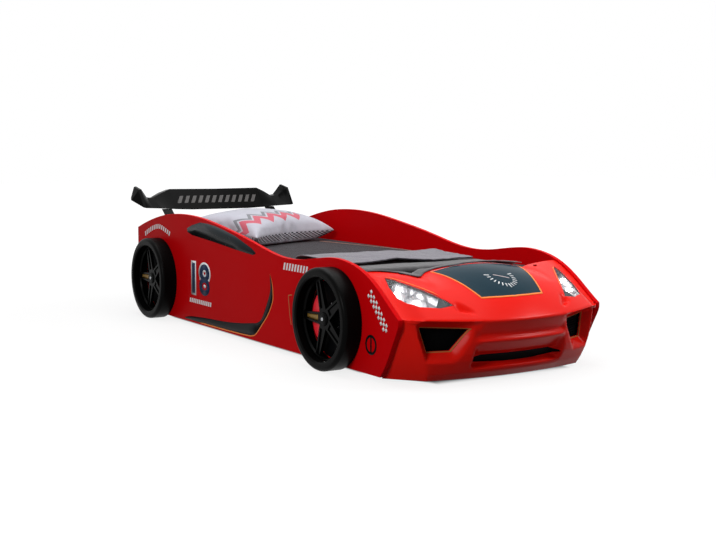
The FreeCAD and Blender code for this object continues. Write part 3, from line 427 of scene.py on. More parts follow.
def paintedPlastic(name, colour, roughness, metallic=0.0, flake=0.06):
    # spray paint on ABS: an even colour with a fine 1.4 mm flake that breaks the highlight
    return textured(name, {"Metallic": metallic, "Specular IOR Level": 0.35},
                    ("ShaderNodeTexNoise", {"Scale": 700.0, "Detail": 1.0},
                     {"tones": tonesOf(colour, 1 - flake, 1 + flake),
                      "roughness": (roughness * 0.85, roughness * 1.2)}))


def vinyl(name, colour, roughness=0.38, specular=0.06):
    # printed vinyl film: flat colour with a little unevenness of the ink and a satin face
    return textured(name, {"Specular IOR Level": specular},
                    ("ShaderNodeTexNoise", {"Scale": 60.0, "Detail": 3.0},
                     {"tones": tonesOf(colour, 0.93, 1.05),
                      "roughness": (roughness * 0.9, roughness * 1.15)}))


def windowFilm():
    # printed film for the side window: black fading to a steel-blue grey along its upper edge
    made = material, tree, shader, place = startMaterial("window_print_film", {"Specular IOR Level": 0.05})
    parts = addNode(tree, "ShaderNodeSeparateXYZ", links={0: place}).outputs
    tilt = addNode(tree, "ShaderNodeMath", {1: -0.14}, {0: parts["Y"]}, operation="MULTIPLY")
    height = addNode(tree, "ShaderNodeMath", links={0: parts["Z"], 1: tilt}, operation="ADD")
    share = addNode(tree, "ShaderNodeMapRange", {1: 0.38, 2: 0.47, 3: 0.0, 4: 1.0}, {0: height})
    ramp = addNode(tree, "ShaderNodeValToRGB", links={0: share})
    ramp.color_ramp.elements[0].color = toLinear("#0b0d0f")
    ramp.color_ramp.elements[1].color = toLinear("#6b7074")
    middle = ramp.color_ramp.elements.new(0.55)
    middle.color = toLinear("#22292d")
    link(tree, ramp, shader.inputs["Base Color"])
    vary(made, addNode(tree, "ShaderNodeTexNoise", {"Scale": 40.0}, {"Vector": place}), roughness=(0.22, 0.3))
    return material


def pine(axis):
    # planed pine: pale yellow-brown with darker late-wood lines about 6 mm apart along the board
    made = material, tree, shader, place = startMaterial("planed_pine_along_" + axis,
                                                         {"Specular IOR Level": 0.25})
    stretch = [160.0, 160.0, 160.0]
    stretch["xyz".index(axis)] = 4.0
    scaled = addNode(tree, "ShaderNodeMapping", {"Scale": stretch}, {"Vector": place})
    drift = addNode(tree, "ShaderNodeTexNoise", {"Scale": 3.0, "Detail": 2.0}, {"Vector": place})
    bent = addNode(tree, "ShaderNodeVectorMath", {3: 5.0}, {0: drift.outputs["Color"]}, operation="SCALE")
    wavy = addNode(tree, "ShaderNodeVectorMath", links={0: scaled, 1: bent}, operation="ADD")
    grain = addNode(tree, "ShaderNodeTexNoise", {"Scale": 1.0, "Detail": 4.0, "Roughness": 0.6},
                    {"Vector": wavy})
    ramp = addNode(tree, "ShaderNodeValToRGB", links={0: grain})
    for element, position, colour in zip(ramp.color_ramp.elements, (0.3, 0.62), ("#b98650", "#e0bd86")):
        element.position = position
        element.color = toLinear(colour)
    link(tree, ramp, shader.inputs["Base Color"])
    vary(made, grain, roughness=(0.5, 0.65), relief=(0.2, 0.0003))
    return material


def zincSteel():
    # pressed steel with bright zinc: grey metal with a faint crystalline blotch, a 5 mm spangle
    return textured("zinc_plated_steel", {"Metallic": 1.0},
                    ("ShaderNodeTexVoronoi", {"Scale": 180.0},
                     {"tones": (toLinear("#a9acae"), toLinear("#c6c9cb")), "roughness": (0.3, 0.45)}))


def clearCover():
    # clear polycarbonate cover: see-through, with a polished face that catches the room
    return textured("clear_polycarbonate",
                    {"Base Color": toLinear("#dfe6ea"), "IOR": 1.58, "Alpha": 0.05,
                     "Specular IOR Level": 0.5},
                    ("ShaderNodeTexNoise", {"Scale": 20.0}, {"roughness": (0.02, 0.06)}))


def fabric(name, colour, shade, thread, sheen=0.3, weave=0.35, crease=0.0):
    # woven cotton blend: two tones of yarn, a fine thread relief and a soft sheen at the edges
    made = startMaterial(name, {
        "Roughness": 0.92, "Specular IOR Level": 0.1, "Sheen Weight": sheen, "Sheen Roughness": 0.5})
    tree, shader, place = made[1:]
    scaled = addNode(tree, "ShaderNodeMapping", {"Scale": [math.tau / (thread / 1000)] * 3},
                     {"Vector": place})
    parts = addNode(tree, "ShaderNodeSeparateXYZ", links={0: scaled}).outputs
    warp = addNode(tree, "ShaderNodeMath", links={0: parts["X"]}, operation="SINE")
    weft = addNode(tree, "ShaderNodeMath", links={0: parts["Y"]}, operation="SINE")
    cross = addNode(tree, "ShaderNodeMath", links={0: warp, 1: weft}, operation="MULTIPLY")
    slub = addNode(tree, "ShaderNodeTexNoise", {"Scale": 28.0, "Detail": 4.0}, {"Vector": place})
    mixed = addNode(tree, "ShaderNodeMath", {1: 0.22}, {0: cross, 2: slub}, operation="MULTIPLY_ADD")
    vary(made, mixed, tones=(toLinear(shade), toLinear(colour)))
    normal = addNode(tree, "ShaderNodeBump", {"Strength": weave, "Distance": 0.0004}, {"Height": cross})
    if crease:
        stretch = addNode(tree, "ShaderNodeMapping", {"Scale": (34.0, 9.0, 20.0), "Rotation": (0, 0, 0.35)},
                          {"Vector": place})
        folds = addNode(tree, "ShaderNodeTexNoise", {"Scale": 1.0, "Detail": 4.0, "Distortion": 0.8},
                        {"Vector": stretch})
        normal = addNode(tree, "ShaderNodeBump", {"Strength": crease, "Distance": 0.006},
                         {"Height": folds, "Normal": normal})
    link(tree, normal, shader.inputs["Normal"])
    return made


boardRed = lacqueredBoard()
shellRed = formedAbs()
glossBlack = blackMoulding("gloss_black_abs", "#040404", 0.24, 0.035)
wheelBlack = blackMoulding("satin_black_abs", "#050505", 0.34, 0.03, strength=0.08)
mattBlack = blackMoulding("matt_black_abs", "#050506", 0.6, 0.03, strength=0.1)
boxPlastic = blackMoulding("textured_abs_box", "#1b1b1d", 0.5, 0.3, grain=1500.0, strength=0.3)
calliperRed = paintedPlastic("calliper_red_paint", "#ff1a30", 0.3)
silverPaint = paintedPlastic("silver_paint_on_abs", "#a9abae", 0.35, metallic=0.6)
goldFilm = paintedPlastic("gold_film", "#8a6b2e", 0.4, metallic=0.3)
whiteVinyl = vinyl("white_vinyl", "#eceef0")
navyVinyl = vinyl("navy_vinyl", "#1c2c4a")
blackVinyl = vinyl("black_vinyl", "#0b0d0f", 0.3, 0.03)
tealVinyl = vinyl("dark_teal_vinyl", "#16303c", 0.25, 0.05)
orangeVinyl = vinyl("orange_vinyl", "#ff8f45")
tanVinyl = vinyl("tan_vinyl", "#b86a3c")
greyVinyl = vinyl("pale_grey_vinyl", "#c9b9bb")
pineY, pineX, pineZ = pine("y"), pine("x"), pine("z")
steel = zincSteel()
nylon = blackMoulding("nylon_glide", "#c6c5bf", 0.45, 0.4)
leadPvc = blackMoulding("pvc_lead_sheath", "#101011", 0.5, 0.3)
boardGreen = vinyl("glass_epoxy_board", "#0e4a2a", 0.3, 0.5)
print("materials made")


# boards, slats and small parts

for name, side in sides.items():
    softened("side_panel_" + name, boardRed, 2.2, shortest=3)
    softened("side_rail_" + name, pineY, 1.5, shortest=3)
    softened("spoiler_post_" + name, glossBlack, 1.5, shortest=3)
softened("rear_board", boardRed, 2, shortest=3)
softened("front_board", boardRed, 2, shortest=4)
softened("centre_beam", pineY, 1.5)
softened("centre_legs", pineZ, 1.5)
softened("foot_glides", nylon, 1.2)
softened("corner_brackets", steel, 0.4, shortest=3, segments=2)
softened("nose_brackets", steel, 0.4, shortest=3, segments=2)
softened("control_box_base", boxPlastic, 1.0, shortest=4)
softened("control_box_cover", boxPlastic, 0.8, shortest=4)
softened("power_rocker", boxPlastic, 0.5, body="rocker", segments=2)
softened("cable_clips", boxPlastic, 0.6, shortest=3, segments=2)
softened("spoiler_wing", glossBlack, 2.5, segments=3)

slat = {"rounding": 1.2, "segments": 3}


def startTree(name, **kinds):
    # a tree with a geometry, named sizes and a material as its inputs
    tree = bpy.data.node_groups.new(name, "GeometryNodeTree")
    sockets = {title: tree.interface.new_socket(title, in_out="INPUT", socket_type="NodeSocket" + kind)
               for title, kind in {"Geometry": "Geometry", **kinds, "Material": "Material"}.items()}
    tree.interface.new_socket("Geometry", in_out="OUTPUT", socket_type="NodeSocketGeometry")
    return tree, sockets, addNode(tree, "NodeGroupInput").outputs


def endTree(tree, given, copies):
    # the copies made real and given their material
    real = addNode(tree, "GeometryNodeRealizeInstances", links={0: copies})
    painted = addNode(tree, "GeometryNodeSetMaterial", links={
        "Geometry": real, "Material": given["Material"]})
    addNode(tree, "NodeGroupOutput", links={0: painted})


def useTree(piece, made, values, place=None):
    # runs a tree on a piece, its inputs set by identifier, and keeps the result as a plain mesh in its place
    tree, sockets = made
    modifier = piece.modifiers.new(tree.name, "NODES")
    modifier.node_group = tree
    for title, value in values.items():
        modifier[sockets[title].identifier] = value
    freeze(piece)
    if place is not None:
        piece.data.transform(place)
    piece.data.materials.clear()


def slatTree():
    # bars laid across the bed at an even pitch
    tree, sockets, given = startTree("slat_row", Count="Int", Pitch="Float", First="Vector")
    step = addNode(tree, "ShaderNodeCombineXYZ", links={1: given["Pitch"]})
    row = addNode(tree, "GeometryNodeMeshLine", links={
        "Count": given["Count"], "Start Location": given["First"], "Offset": step})
    placed = addNode(tree, "GeometryNodeInstanceOnPoints", links={
        "Points": row, "Instance": given["Geometry"]})
    endTree(tree, given, placed)
    return tree, sockets


def makeSlats():
    # one rounded bar at the middle, repeated over the bed by the tree
    low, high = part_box("bed_slats")
    levels = sorted({round(vertex.co.y, 4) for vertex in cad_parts["bed_slats"].data.vertices})
    width = levels[1] - levels[0]
    count = len(levels) // 2
    bar = bmesh.new()
    bmesh.ops.create_cube(bar, size=1)
    bmesh.ops.scale(bar, vec=(high.x - low.x, width, high.z - low.z), verts=bar.verts)
    bmesh.ops.bevel(bar, geom=bar.edges[:], offset=slat["rounding"] / 1000, segments=slat["segments"],
                    affect="EDGES")
    piece = meshFrom(bar, "bed_slats_finish")
    bpy.context.scene.collection.objects.link(piece)
    useTree(piece, slatTree(), {"Count": count, "Pitch": (levels[-2] - levels[0]) / (count - 1),
                                "First": (0.0, levels[0] + width / 2, (low.z + high.z) / 2),
                                "Material": pineX})
    finishPiece(piece, pineX, nodes=["bed_slats"])


makeSlats()
for node, material in (("headlight_lead_right", leadPvc), ("headlight_lead_left", leadPvc),
                       ("control_board", boardGreen), ("dc_inlet", boxPlastic), ("rail_screws", steel),
                       ("bracket_screws", steel), ("wheel_screws", steel), ("nose_screws", steel),
                       ("spoiler_screws", steel)):
    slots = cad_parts[node].data.materials
    slots.clear()
    slots.append(material)
print("boards, slats and small parts made")


# nose: one formed shell, its lamps, mesh panels and hood print

nose = {"reach": 567, "sweep": 109, "creaseLevel": 229, "creaseRise": 10, "creaseHalf": 425, "hoodRear": 180,
        "bottom": 13, "wall": 4, "half": 459, "columns": 162, "hoodRows": 60, "faceRows": 56, "softening": 2,
        "underCrease": 0.93, "cornerLevel": 238}
hood = {"dome": 403, "domeFall": 18, "domeHalf": 190, "evenFall": 17, "fender": 386, "fenderFall": 4,
        "fenderHalf": 80, "valley": 10, "valleyAt": 262, "valleyHalf": 22, "half": 455, "rearShare": 0.6,
        "bend": 2.1, "bendLoss": 0.9, "turnFrom": 229, "turnLength": 49, "turnDrop": 13, "turnEnds": 215,
        "fenderFrom": 385, "fenderDrop": 6}
face = {"rim": 545, "rimCurve": 0.00055, "leanLoss": 0.34, "leanHalf": 359, "middleBack": 5,
        "middleEnds": (188, 216), "intakeBack": 494, "intakeSlope": 0.516, "intakeFrom": 225,
        "flange": 12, "flangeFrom": 421}
fenderTop = [(-120, 413), (-10, 423), (94, 415), (163, 399), (223, 375), (297, 331), (370, 277), (423, 240),
             (460, 215)]
panelFrontAt = [(20, 310), (75, 350), (135, 382), (180, 405), (230, 424), (240, 423)]
intakeRim = [(219, 232), (421, 236), (412, 177), (397, 128), (382, 85), (280, 79), (248, 129), (225, 172)]
intakeHole = [(229, 200), (384, 206), (360, 121), (288, 124)]
barRows = [(13, 5), (40, 7), (54, 3), (69, -32), (74, -35), (103, -35), (110, -24), (157, 14), (177, -4),
           (229, 27)]
leanRows = [(13, 71), (40, 45), (62, 30), (86, 14), (112, 5), (150, 0)]
cornerRows = [(13, 359), (85, 380), (128, 397), (177, 412), (234, 421)]
slotOutline = [(-212, 80), (-185, 74), (-60, 69), (60, 69), (185, 74), (212, 80), (205, 88), (160, 101),
               (-160, 101), (-205, 88)]
lensOutline = [(410, 236), (385, 262), (353, 311), (322, 360), (292, 410), (262, 460), (318, 452), (381, 418),
               (408, 379), (424, 337), (424, 285)]
channel = {"start": (262, 460), "end": (205, 512), "width": 15, "depth": 30}
hoodScrew = {"at": (324, 217), "hole": 2.6, "cap": (8.5, 6.5), "capHeight": 3, "lift": 1.6}


def creaseReach(a):
    return nose["reach"] - nose["sweep"] * (a / nose["creaseHalf"]) ** 2


def creaseLevel(a):
    return nose["creaseLevel"] + nose["creaseRise"] * (a / nose["creaseHalf"]) ** 2


def shellEdge(z):
    return between(z, panelFrontAt) - face["flange"]


def hoodEnd(a):
    corner = shellEdge(nose["cornerLevel"]) - creaseReach(nose["half"])
    return creaseReach(a) + corner * smooth(a, face["flangeFrom"], nose["half"])


def channelDepth(a, d):
    # a groove that runs on from the headlight's front tip and fades out
    (a0, d0), (a1, d1) = channel["start"], channel["end"]
    long = math.hypot(a1 - a0, d1 - d0)
    along = ((a - a0) * (a1 - a0) + (d - d0) * (d1 - d0)) / long ** 2
    across = abs((a - a0) * (d1 - d0) - (d - d0) * (a1 - a0)) / long
    if not 0 < along < 1:
        return 0
    left = 1 - along
    section = max(0, 1 - across / (channel["width"] * left + 5))
    return channel["depth"] * smooth(along, 0, 0.2) * left ** 0.6 * section


def hoodHeight(a, d):
    # a dome in the middle, a fender each side with a valley between, all even by the crease
    t = min(1.0, (d - nose["hoodRear"]) / (creaseReach(a) - nose["hoodRear"]))
    bend = hood["bend"] - hood["bendLoss"] * (a / hood["half"]) ** 1.5
    dome = hood["dome"] - hood["domeFall"] * (a / hood["domeHalf"]) ** 2
    fender = hood["fender"] - hood["fenderFall"] * ((hood["half"] - a) / hood["fenderHalf"]) ** 2
    valley = hood["valley"] * math.exp(-(((a - hood["valleyAt"]) / hood["valleyHalf"]) ** 2))
    even = hood["dome"] - hood["evenFall"] * (a / hood["half"]) ** 2
    share = max(0.0, 1 - t / hood["rearShare"])
    rear = share * (max(dome, fender) - valley) + (1 - share) * even
    height = creaseLevel(a) + (rear - creaseLevel(a)) * (1 - max(0.0, t) ** bend) - channelDepth(a, d)
    if d < hood["turnFrom"]:  # turned down towards the front board
        turned = ((hood["turnFrom"] - d) / hood["turnLength"]) ** 2
        height -= hood["turnDrop"] * turned * smooth(hood["turnEnds"] - a, 0, 40)
    blend = smooth(a, hood["fenderFrom"], nose["half"])
    return height * (1 - blend) + blend * (between(d, fenderTop) - hood["fenderDrop"])


def distanceTo(point, polygon):
    # distance to a polygon's edge, and whether the point is inside
    x, z = point
    inside, best = False, 1e9
    for (x0, z0), (x1, z1) in zip(polygon, polygon[1:] + polygon[:1]):
        along = ((x - x0) * (x1 - x0) + (z - z0) * (z1 - z0)) / ((x1 - x0) ** 2 + (z1 - z0) ** 2)
        along = min(1.0, max(0.0, along))
        best = min(best, math.hypot(x - x0 - along * (x1 - x0), z - z0 - along * (z1 - z0)))
        if (z0 > z) != (z1 > z) and x < x0 + (z - z0) * (x1 - x0) / (z1 - z0):
            inside = not inside
    return best, inside


def baseReach(a, z):
    # the bumper's plain face, which leans back towards its bottom edge
    lean = between(z, leanRows) * (1 - face["leanLoss"] * (a / face["leanHalf"]) ** 2)
    return face["rim"] - face["rimCurve"] * a * a - lean


def faceReach(a, z):
    # the bumper's face: bar and slot in the middle, a sunk intake each side, a plain end
    base = baseReach(a, z)
    middle = base - face["middleBack"] + between(z, barRows)
    outer = base
    toRim, inRim = distanceTo((a, z), intakeRim)
    if inRim:
        toHole, inHole = distanceTo((a, z), intakeHole)
        sunk = face["intakeBack"] - face["intakeSlope"] * (a - face["intakeFrom"])
        share = 1.0 if inHole else toRim / (toRim + toHole)
        outer = base + (sunk - base) * share
    edge = between(z, cornerRows)
    if a > edge:
        share = (a - edge) / (nose["half"] - edge)
        return baseReach(edge, z) + (shellEdge(z) - baseReach(edge, z)) * share
    return middle + (outer - middle) * smooth(a, *face["middleEnds"])


def noseLine(a):
    # points (reach, height) from the hood's rear edge over the crease to the bottom edge
    end, top, bottom = hoodEnd(a), creaseLevel(a), nose["bottom"]
    line = []
    for row in range(nose["hoodRows"]):
        d = nose["hoodRear"] + (end - nose["hoodRear"]) * row / nose["hoodRows"]
        line.append((d, hoodHeight(a, d)))
    fall = bottom + nose["underCrease"] * (top - bottom)
    for row in range(nose["faceRows"] + 1):
        z = top - (top - bottom) * row / nose["faceRows"]
        share = max(0.0, (z - fall) / (top - fall))
        reach = min(faceReach(a, min(z, fall)), end - 3)
        line.append((reach + (end - reach) * share, z))
    return line


def noseGrid():
    # the outer skin as rows of points, with every edge softened as a formed sheet's are
    columns = nose["columns"]
    xs = [nose["half"] * (2 * column / columns - 1) for column in range(columns + 1)]
    lines = [noseLine(abs(x)) for x in xs]
    rows = len(lines[0])
    for turn in range(nose["softening"]):
        eased = [line[:] for line in lines]
        for c in range(1, columns):
            for r in range(1, rows - 1):
                near = (lines[c - 1][r], lines[c + 1][r], lines[c][r - 1], lines[c][r + 1])
                eased[c][r] = tuple(0.5 * lines[c][r][k] + 0.125 * sum(p[k] for p in near) for k in (0, 1))
        lines = eased
    points = [at(x, -d, z) for x, line in zip(xs, lines) for d, z in line]
    return points, gridFaces(columns + 1, rows)


nosePoints, noseFaces = noseGrid()
skin = BVHTree.FromPolygons(nosePoints, noseFaces)


def onSkin(start, direction, lift):
    # a point of the nose's skin straight below or behind, lifted off it by some millimetres
    place, normal = skin.ray_cast(start, direction)[:2]
    if place is None:
        place, normal = skin.find_nearest(start + direction * 0.3)[:2]
    if normal.dot(direction) > 0:
        normal = -normal
    return place + normal * lift / 1000


def onHood(x, d, lift=0.4):
    return onSkin(at(x, -d, 700), Vector((0, 0, -1)), lift)


def onFace(x, z, lift=0.5):
    return onSkin(at(x, -700, z), Vector((0, 1, 0)), lift)


def circle(x, y, radius, count=20):
    return [(x + radius * math.cos(math.tau * k / count), y + radius * math.sin(math.tau * k / count))
            for k in range(count)]


def flatPlace(point, fromAbove):
    # where a mesh point falls on the outline's own plane: (x, reach) from above, (x, height) from the front
    x, reach, height = point.x * 1000, (axleY - point.y) * 1000, point.z * 1000
    return (x, reach if fromAbove else height)


def cutOpening(sheet, outline, fromAbove):
    # takes a convex opening out of the nose's sheet, with its edges cut straight
    def within(border):
        faces = []
        for part in sheet.faces:
            centre = part.calc_center_median()
            onHoodSide = centre.z > 0.236
            if onHoodSide == fromAbove and distanceTo(flatPlace(centre, fromAbove), border)[1]:
                faces.append(part)
        return faces

    wide = grown(outline, 14)
    for (u0, v0), (u1, v1) in zip(outline, outline[1:] + outline[:1]):
        faces = within(wide)
        edges = list({edge for part in faces for edge in part.edges})
        points = list({vertex for part in faces for vertex in part.verts})
        place = at(u0, -v0, 0) if fromAbove else at(u0, 0, v0)
        normal = Vector((v1 - v0, u1 - u0, 0)) if fromAbove else Vector((v1 - v0, 0, u0 - u1))
        bmesh.ops.bisect_plane(sheet, geom=points + edges + faces, plane_co=place,
                               plane_no=normal.normalized())
    bmesh.ops.delete(sheet, geom=within(outline), context="FACES")


def makeNoseShell():
    shell = turnedTowards(meshPiece("nose_shell_formed", nosePoints, noseFaces), Vector((0, -1, 1)))
    with editing(shell.data) as sheet:
        cutOpening(sheet, slotOutline, fromAbove=False)
        for side in sides.values():
            cutOpening(sheet, mirrored(lensOutline, side), fromAbove=True)
            cutOpening(sheet, mirrored(intakeHole, side), fromAbove=False)
            a, d = hoodScrew["at"]
            cutOpening(sheet, circle(side * a, d, hoodScrew["hole"], 12), fromAbove=True)
    thicken(shell, nose["wall"]).use_even_offset = False  # even walls would spike at the creases
    finishPiece(shell, shellRed, nodes=["nose_shell"], sharp=48)


def skinPatch(name, outline, lift, spacing=7, cuts=()):
    # a piece of film or cover that follows the hood inside a convex outline of (x, reach) points
    (left, right), (near, far) = ((min(values), max(values)) for values in zip(*outline))
    patch = bmesh.new()
    bmesh.ops.create_grid(patch, x_segments=max(2, round((right - left) / spacing)),
                          y_segments=max(2, round((far - near) / spacing)), size=0.5)
    for vertex in patch.verts:
        vertex.co.x = left + (vertex.co.x + 0.5) * (right - left)
        vertex.co.y = near + (vertex.co.y + 0.5) * (far - near)
    turns = list(zip(outline, outline[1:] + outline[:1]))
    way = 1 if sum(x0 * d1 - x1 * d0 for (x0, d0), (x1, d1) in turns) > 0 else -1
    planes = [(Vector((x0, d0, 0)), Vector((d1 - d0, x0 - x1, 0)) * way) for (x0, d0), (x1, d1) in turns]
    for place, outward in planes + list(cuts):
        bmesh.ops.bisect_plane(patch, geom=patch.verts[:] + patch.edges[:] + patch.faces[:], plane_co=place,
                               plane_no=outward.normalized(), clear_outer=True)
    for vertex in patch.verts:
        vertex.co = onHood(vertex.co.x, vertex.co.y, lift)
    piece = meshFrom(patch, name)
    bpy.context.scene.collection.objects.link(piece)
    return turnedTowards(piece, upwards)


upwards, forwards = Vector((0, 0, 1)), Vector((0, -1, 0))
hoodPrint = {"side": [(212, 246), (184, 341), (159, 418), (143, 464), (66, 475)], "front": (0, 479),
             "rear": [(129, 244), (0, 229), (-129, 244)], "lineWidth": 6.5, "rearLineWidth": 2.5}
dial = {"middle": (18, 372), "radius": 46, "ticks": 15, "sweep": 210, "tick": (4.0, 17.0),
        "needle": ((-26, -12), (31, 14)), "needleWidth": 5, "steps": 4}
intakeLine = {"gap": 4.5, "width": 4}


def makeHoodPrint():
    left = hoodPrint["side"]
    right = [(-x, d) for x, d in reversed(left)]
    border = left + [hoodPrint["front"]] + right
    field = skinPatch("hood_print_field", border + hoodPrint["rear"][::-1], 0.4)
    film(field, upwards, tealVinyl)
    line = ribbon("hood_print_border", border, hoodPrint["lineWidth"], lambda x, d: onHood(x, d, 0.8))
    film(line, upwards, orangeVinyl)
    rear = ribbon("hood_print_rear_line", [left[0]] + hoodPrint["rear"] + [right[-1]],
                  hoodPrint["rearLineWidth"], lambda x, d: onHood(x, d, 0.8))
    film(rear, upwards, greyVinyl)


def hoodBars(name, bars, material):
    # straight bars (start, end, width) stuck on the hood
    points, faces = [], []
    steps = dial["steps"]
    for start, end, width in bars:
        run = (end - start).normalized()
        across = Vector((-run.y, run.x)) * width / 2
        faces += gridFaces(steps + 1, 2, first=len(points))
        for step in range(steps + 1):
            here = start.lerp(end, step / steps)
            points += [onHood(*(here + across), 0.9), onHood(*(here - across), 0.9)]
    film(meshPiece(name, points, faces), upwards, material)


def makeDial():
    # a plain gauge on the hood: a sweep of ticks, every seventh a longer one, and a needle
    middle = Vector(dial["middle"])
    width, long = dial["tick"]
    bars = []
    for number in range(dial["ticks"]):
        angle = math.radians(90 + dial["sweep"] * (number / (dial["ticks"] - 1) - 0.5))
        ray = Vector((math.cos(angle), math.sin(angle)))
        grow = 1.25 if number % 7 == 0 else 1.0
        start = middle + ray * dial["radius"]
        bars.append((start, start + ray * long * grow, width * grow))
    hoodBars("hood_dial_ticks", bars, whiteVinyl)
    tail, tip = (middle + Vector(p) for p in dial["needle"])
    hoodBars("hood_dial_needle", [(tail, tip, dial["needleWidth"])], greyVinyl)


def makeIntakeLines():
    for name, side in sides.items():
        line = ribbon("intake_line_" + name, grown(mirrored(intakeHole, side), intakeLine["gap"]),
                      intakeLine["width"], lambda x, z: onFace(x, z, 0.6), closed=True)
        film(line, forwards, tanVinyl)


makeNoseShell()
makeHoodPrint()
makeDial()
makeIntakeLines()
print("nose shell and prints made")


# headlights

# the shine values are a painted glow on the reflector round each LED, not a lamp of their own
lamp = {"gap": 0.6, "sink": 0.6, "cover": 2.6, "reflector": 1.5, "floor": 36, "rim": 9, "bowlRadius": 36,
        "bowlLift": 7, "ledPlaces": [(398, 300), (365, 372)], "ledRadius": (11, 14), "ledRise": 7,
        "ledBase": 13, "glow": 14, "shine": (0.03, 0.044), "shineFrom": 0.008, "shineStrength": 0.42,
        "shineDepth": 18, "wallWidth": 14, "ringReach": 1.15, "ringWidth": 0.13, "steepest": 2.4,
        "masks": {"rear": ((397, 272), (0, 1)), "front": ((300, 416), (1, -1.15))}, "mask": 0.8}


def reflectorMaterial():
    # ABS with vaporised aluminium: silver grey, with a painted glow round each lamp that stands in for the
    # LEDs' light falling on it
    made = material, tree, shader, place = startMaterial("metallised_reflector", {
        "Base Color": toLinear("#7c7b80"), "Metallic": 0.4, "Emission Color": (1.0, 0.97, 0.93, 1)})
    mirroredPlace = addNode(tree, "ShaderNodeVectorMath", links={0: place}, operation="ABSOLUTE")
    parts = addNode(tree, "ShaderNodeSeparateXYZ", links={0: mirroredPlace}).outputs
    # painted light: emission on the reflector, strongest right at each LED
    shines = []
    for (a, d), radius in zip(lamp["ledPlaces"], lamp["shine"]):
        spot = Vector([abs(c) for c in at(a, -d, hoodHeight(a, d) - lamp["shineDepth"])])
        folded = addNode(tree, "ShaderNodeCombineXYZ", {2: spot.z}, {0: parts[0], 1: parts[1]})
        away = addNode(tree, "ShaderNodeVectorMath", {1: spot}, {0: folded}, operation="DISTANCE")
        shines.append(addNode(tree, "ShaderNodeMapRange", {1: lamp["shineFrom"], 2: radius, 3: 1.0, 4: 0.0},
                              {0: away.outputs["Value"]}, interpolation_type="SMOOTHSTEP"))
    total = addNode(tree, "ShaderNodeMath", links=dict(enumerate(shines)), operation="ADD")
    glow = addNode(tree, "ShaderNodeMath", {1: lamp["shineStrength"]}, {0: total}, operation="MULTIPLY")
    link(tree, glow, shader.inputs["Emission Strength"])
    streak = addNode(tree, "ShaderNodeTexNoise", {"Scale": 120.0}, {"Vector": place})
    vary(made, streak, roughness=(0.16, 0.3))
    return material


def ledMaterial():
    # white LED behind a frosted dome: brighter than anything round it
    material, tree, shader, place = startMaterial("lit_led_dome", {
        "Base Color": toLinear("#ffffff"), "Roughness": 0.4, "Emission Color": (1.0, 0.98, 0.95, 1)})
    speck = addNode(tree, "ShaderNodeTexNoise", {"Scale": 300.0}, {"Vector": place})
    level = addNode(tree, "ShaderNodeMapRange", {3: lamp["glow"] * 0.9, 4: lamp["glow"] * 1.1}, {0: speck})
    link(tree, level, shader.inputs["Emission Strength"])
    return material


coverClear = clearCover()
darkMask = vinyl("dark_lamp_mask", "#0c1c22", 0.35, 0.03)
reflectorSilver = reflectorMaterial()
ledLit = ledMaterial()


def reflectorDepth(a, d):
    # depth under the hood: a wall round the edge, then a floor with a round bowl at each lamp
    edge, inside = distanceTo((a, d), lensOutline)
    if not inside:
        return lamp["rim"]
    depth = lamp["rim"] + (lamp["floor"] - lamp["rim"]) * smooth(edge, 0, lamp["wallWidth"])
    for ledA, ledD in lamp["ledPlaces"]:
        away = math.hypot(a - ledA, d - ledD) / lamp["bowlRadius"]
        if away < lamp["ringReach"]:
            ring = lamp["bowlLift"] * math.exp(-(((away - 1) / lamp["ringWidth"]) ** 2))
            depth -= min(ring, depth - lamp["rim"])
    slope = (hoodHeight(a + 2, d) - hoodHeight(a - 2, d)) / 4
    return depth * min(lamp["steepest"], math.hypot(1, slope))  # measured square to the steep outer side


def makeHeadlight(name, side):
    outline = mirrored(lensOutline, side)
    cover = skinPatch("headlight_cover_" + name, grown(outline, -lamp["gap"]), -lamp["sink"])
    thicken(cover, lamp["cover"])
    finishPiece(cover, coverClear, nodes=["headlight_lens_" + name])

    bowl = skinPatch("headlight_reflector_" + name, grown(outline, -3), 0, spacing=4)
    for vertex in bowl.data.vertices:
        x, y = vertex.co.x * 1000, (vertex.co.y - axleY) * 1000
        vertex.co.z -= reflectorDepth(abs(x), -y) / 1000
    thicken(bowl, lamp["reflector"])
    finishPiece(bowl, reflectorSilver, nodes=["headlight_housing_" + name], sharp=60)

    # dark masks inside the cover, at its rear tip and along its front tip
    for part, (spot, outward) in lamp["masks"].items():
        cut = (Vector((side * spot[0], spot[1], 0)), Vector((side * outward[0], outward[1], 0)))
        mask = skinPatch(f"headlight_mask_{part}_{name}", grown(outline, -1.5), -4.2, cuts=[cut])
        thicken(mask, lamp["mask"])
        finishPiece(mask, darkMask if part == "front" else blackVinyl)

    lights = bmesh.new()
    for (a, d), radius in zip(lamp["ledPlaces"], lamp["ledRadius"]):
        base = at(side * a, -d, hoodHeight(a, d) - lamp["floor"] + lamp["ledBase"])
        done = bmesh.ops.create_uvsphere(lights, u_segments=24, v_segments=12, radius=radius / 1000)
        for vertex in done["verts"]:
            vertex.co.z = vertex.co.z * lamp["ledRise"] / radius
            vertex.co += base
    finishPiece(meshFrom(lights, "led_domes_" + name), ledLit, nodes=["led_module_" + name])

    edgeLine = [(side * (a - 4), d - 3) for a, d in lensOutline[:5]]
    line = ribbon("headlight_line_" + name, edgeLine, 3, lambda x, d: onHood(x, d, 0.7), taper=30)
    film(line, upwards, orangeVinyl)


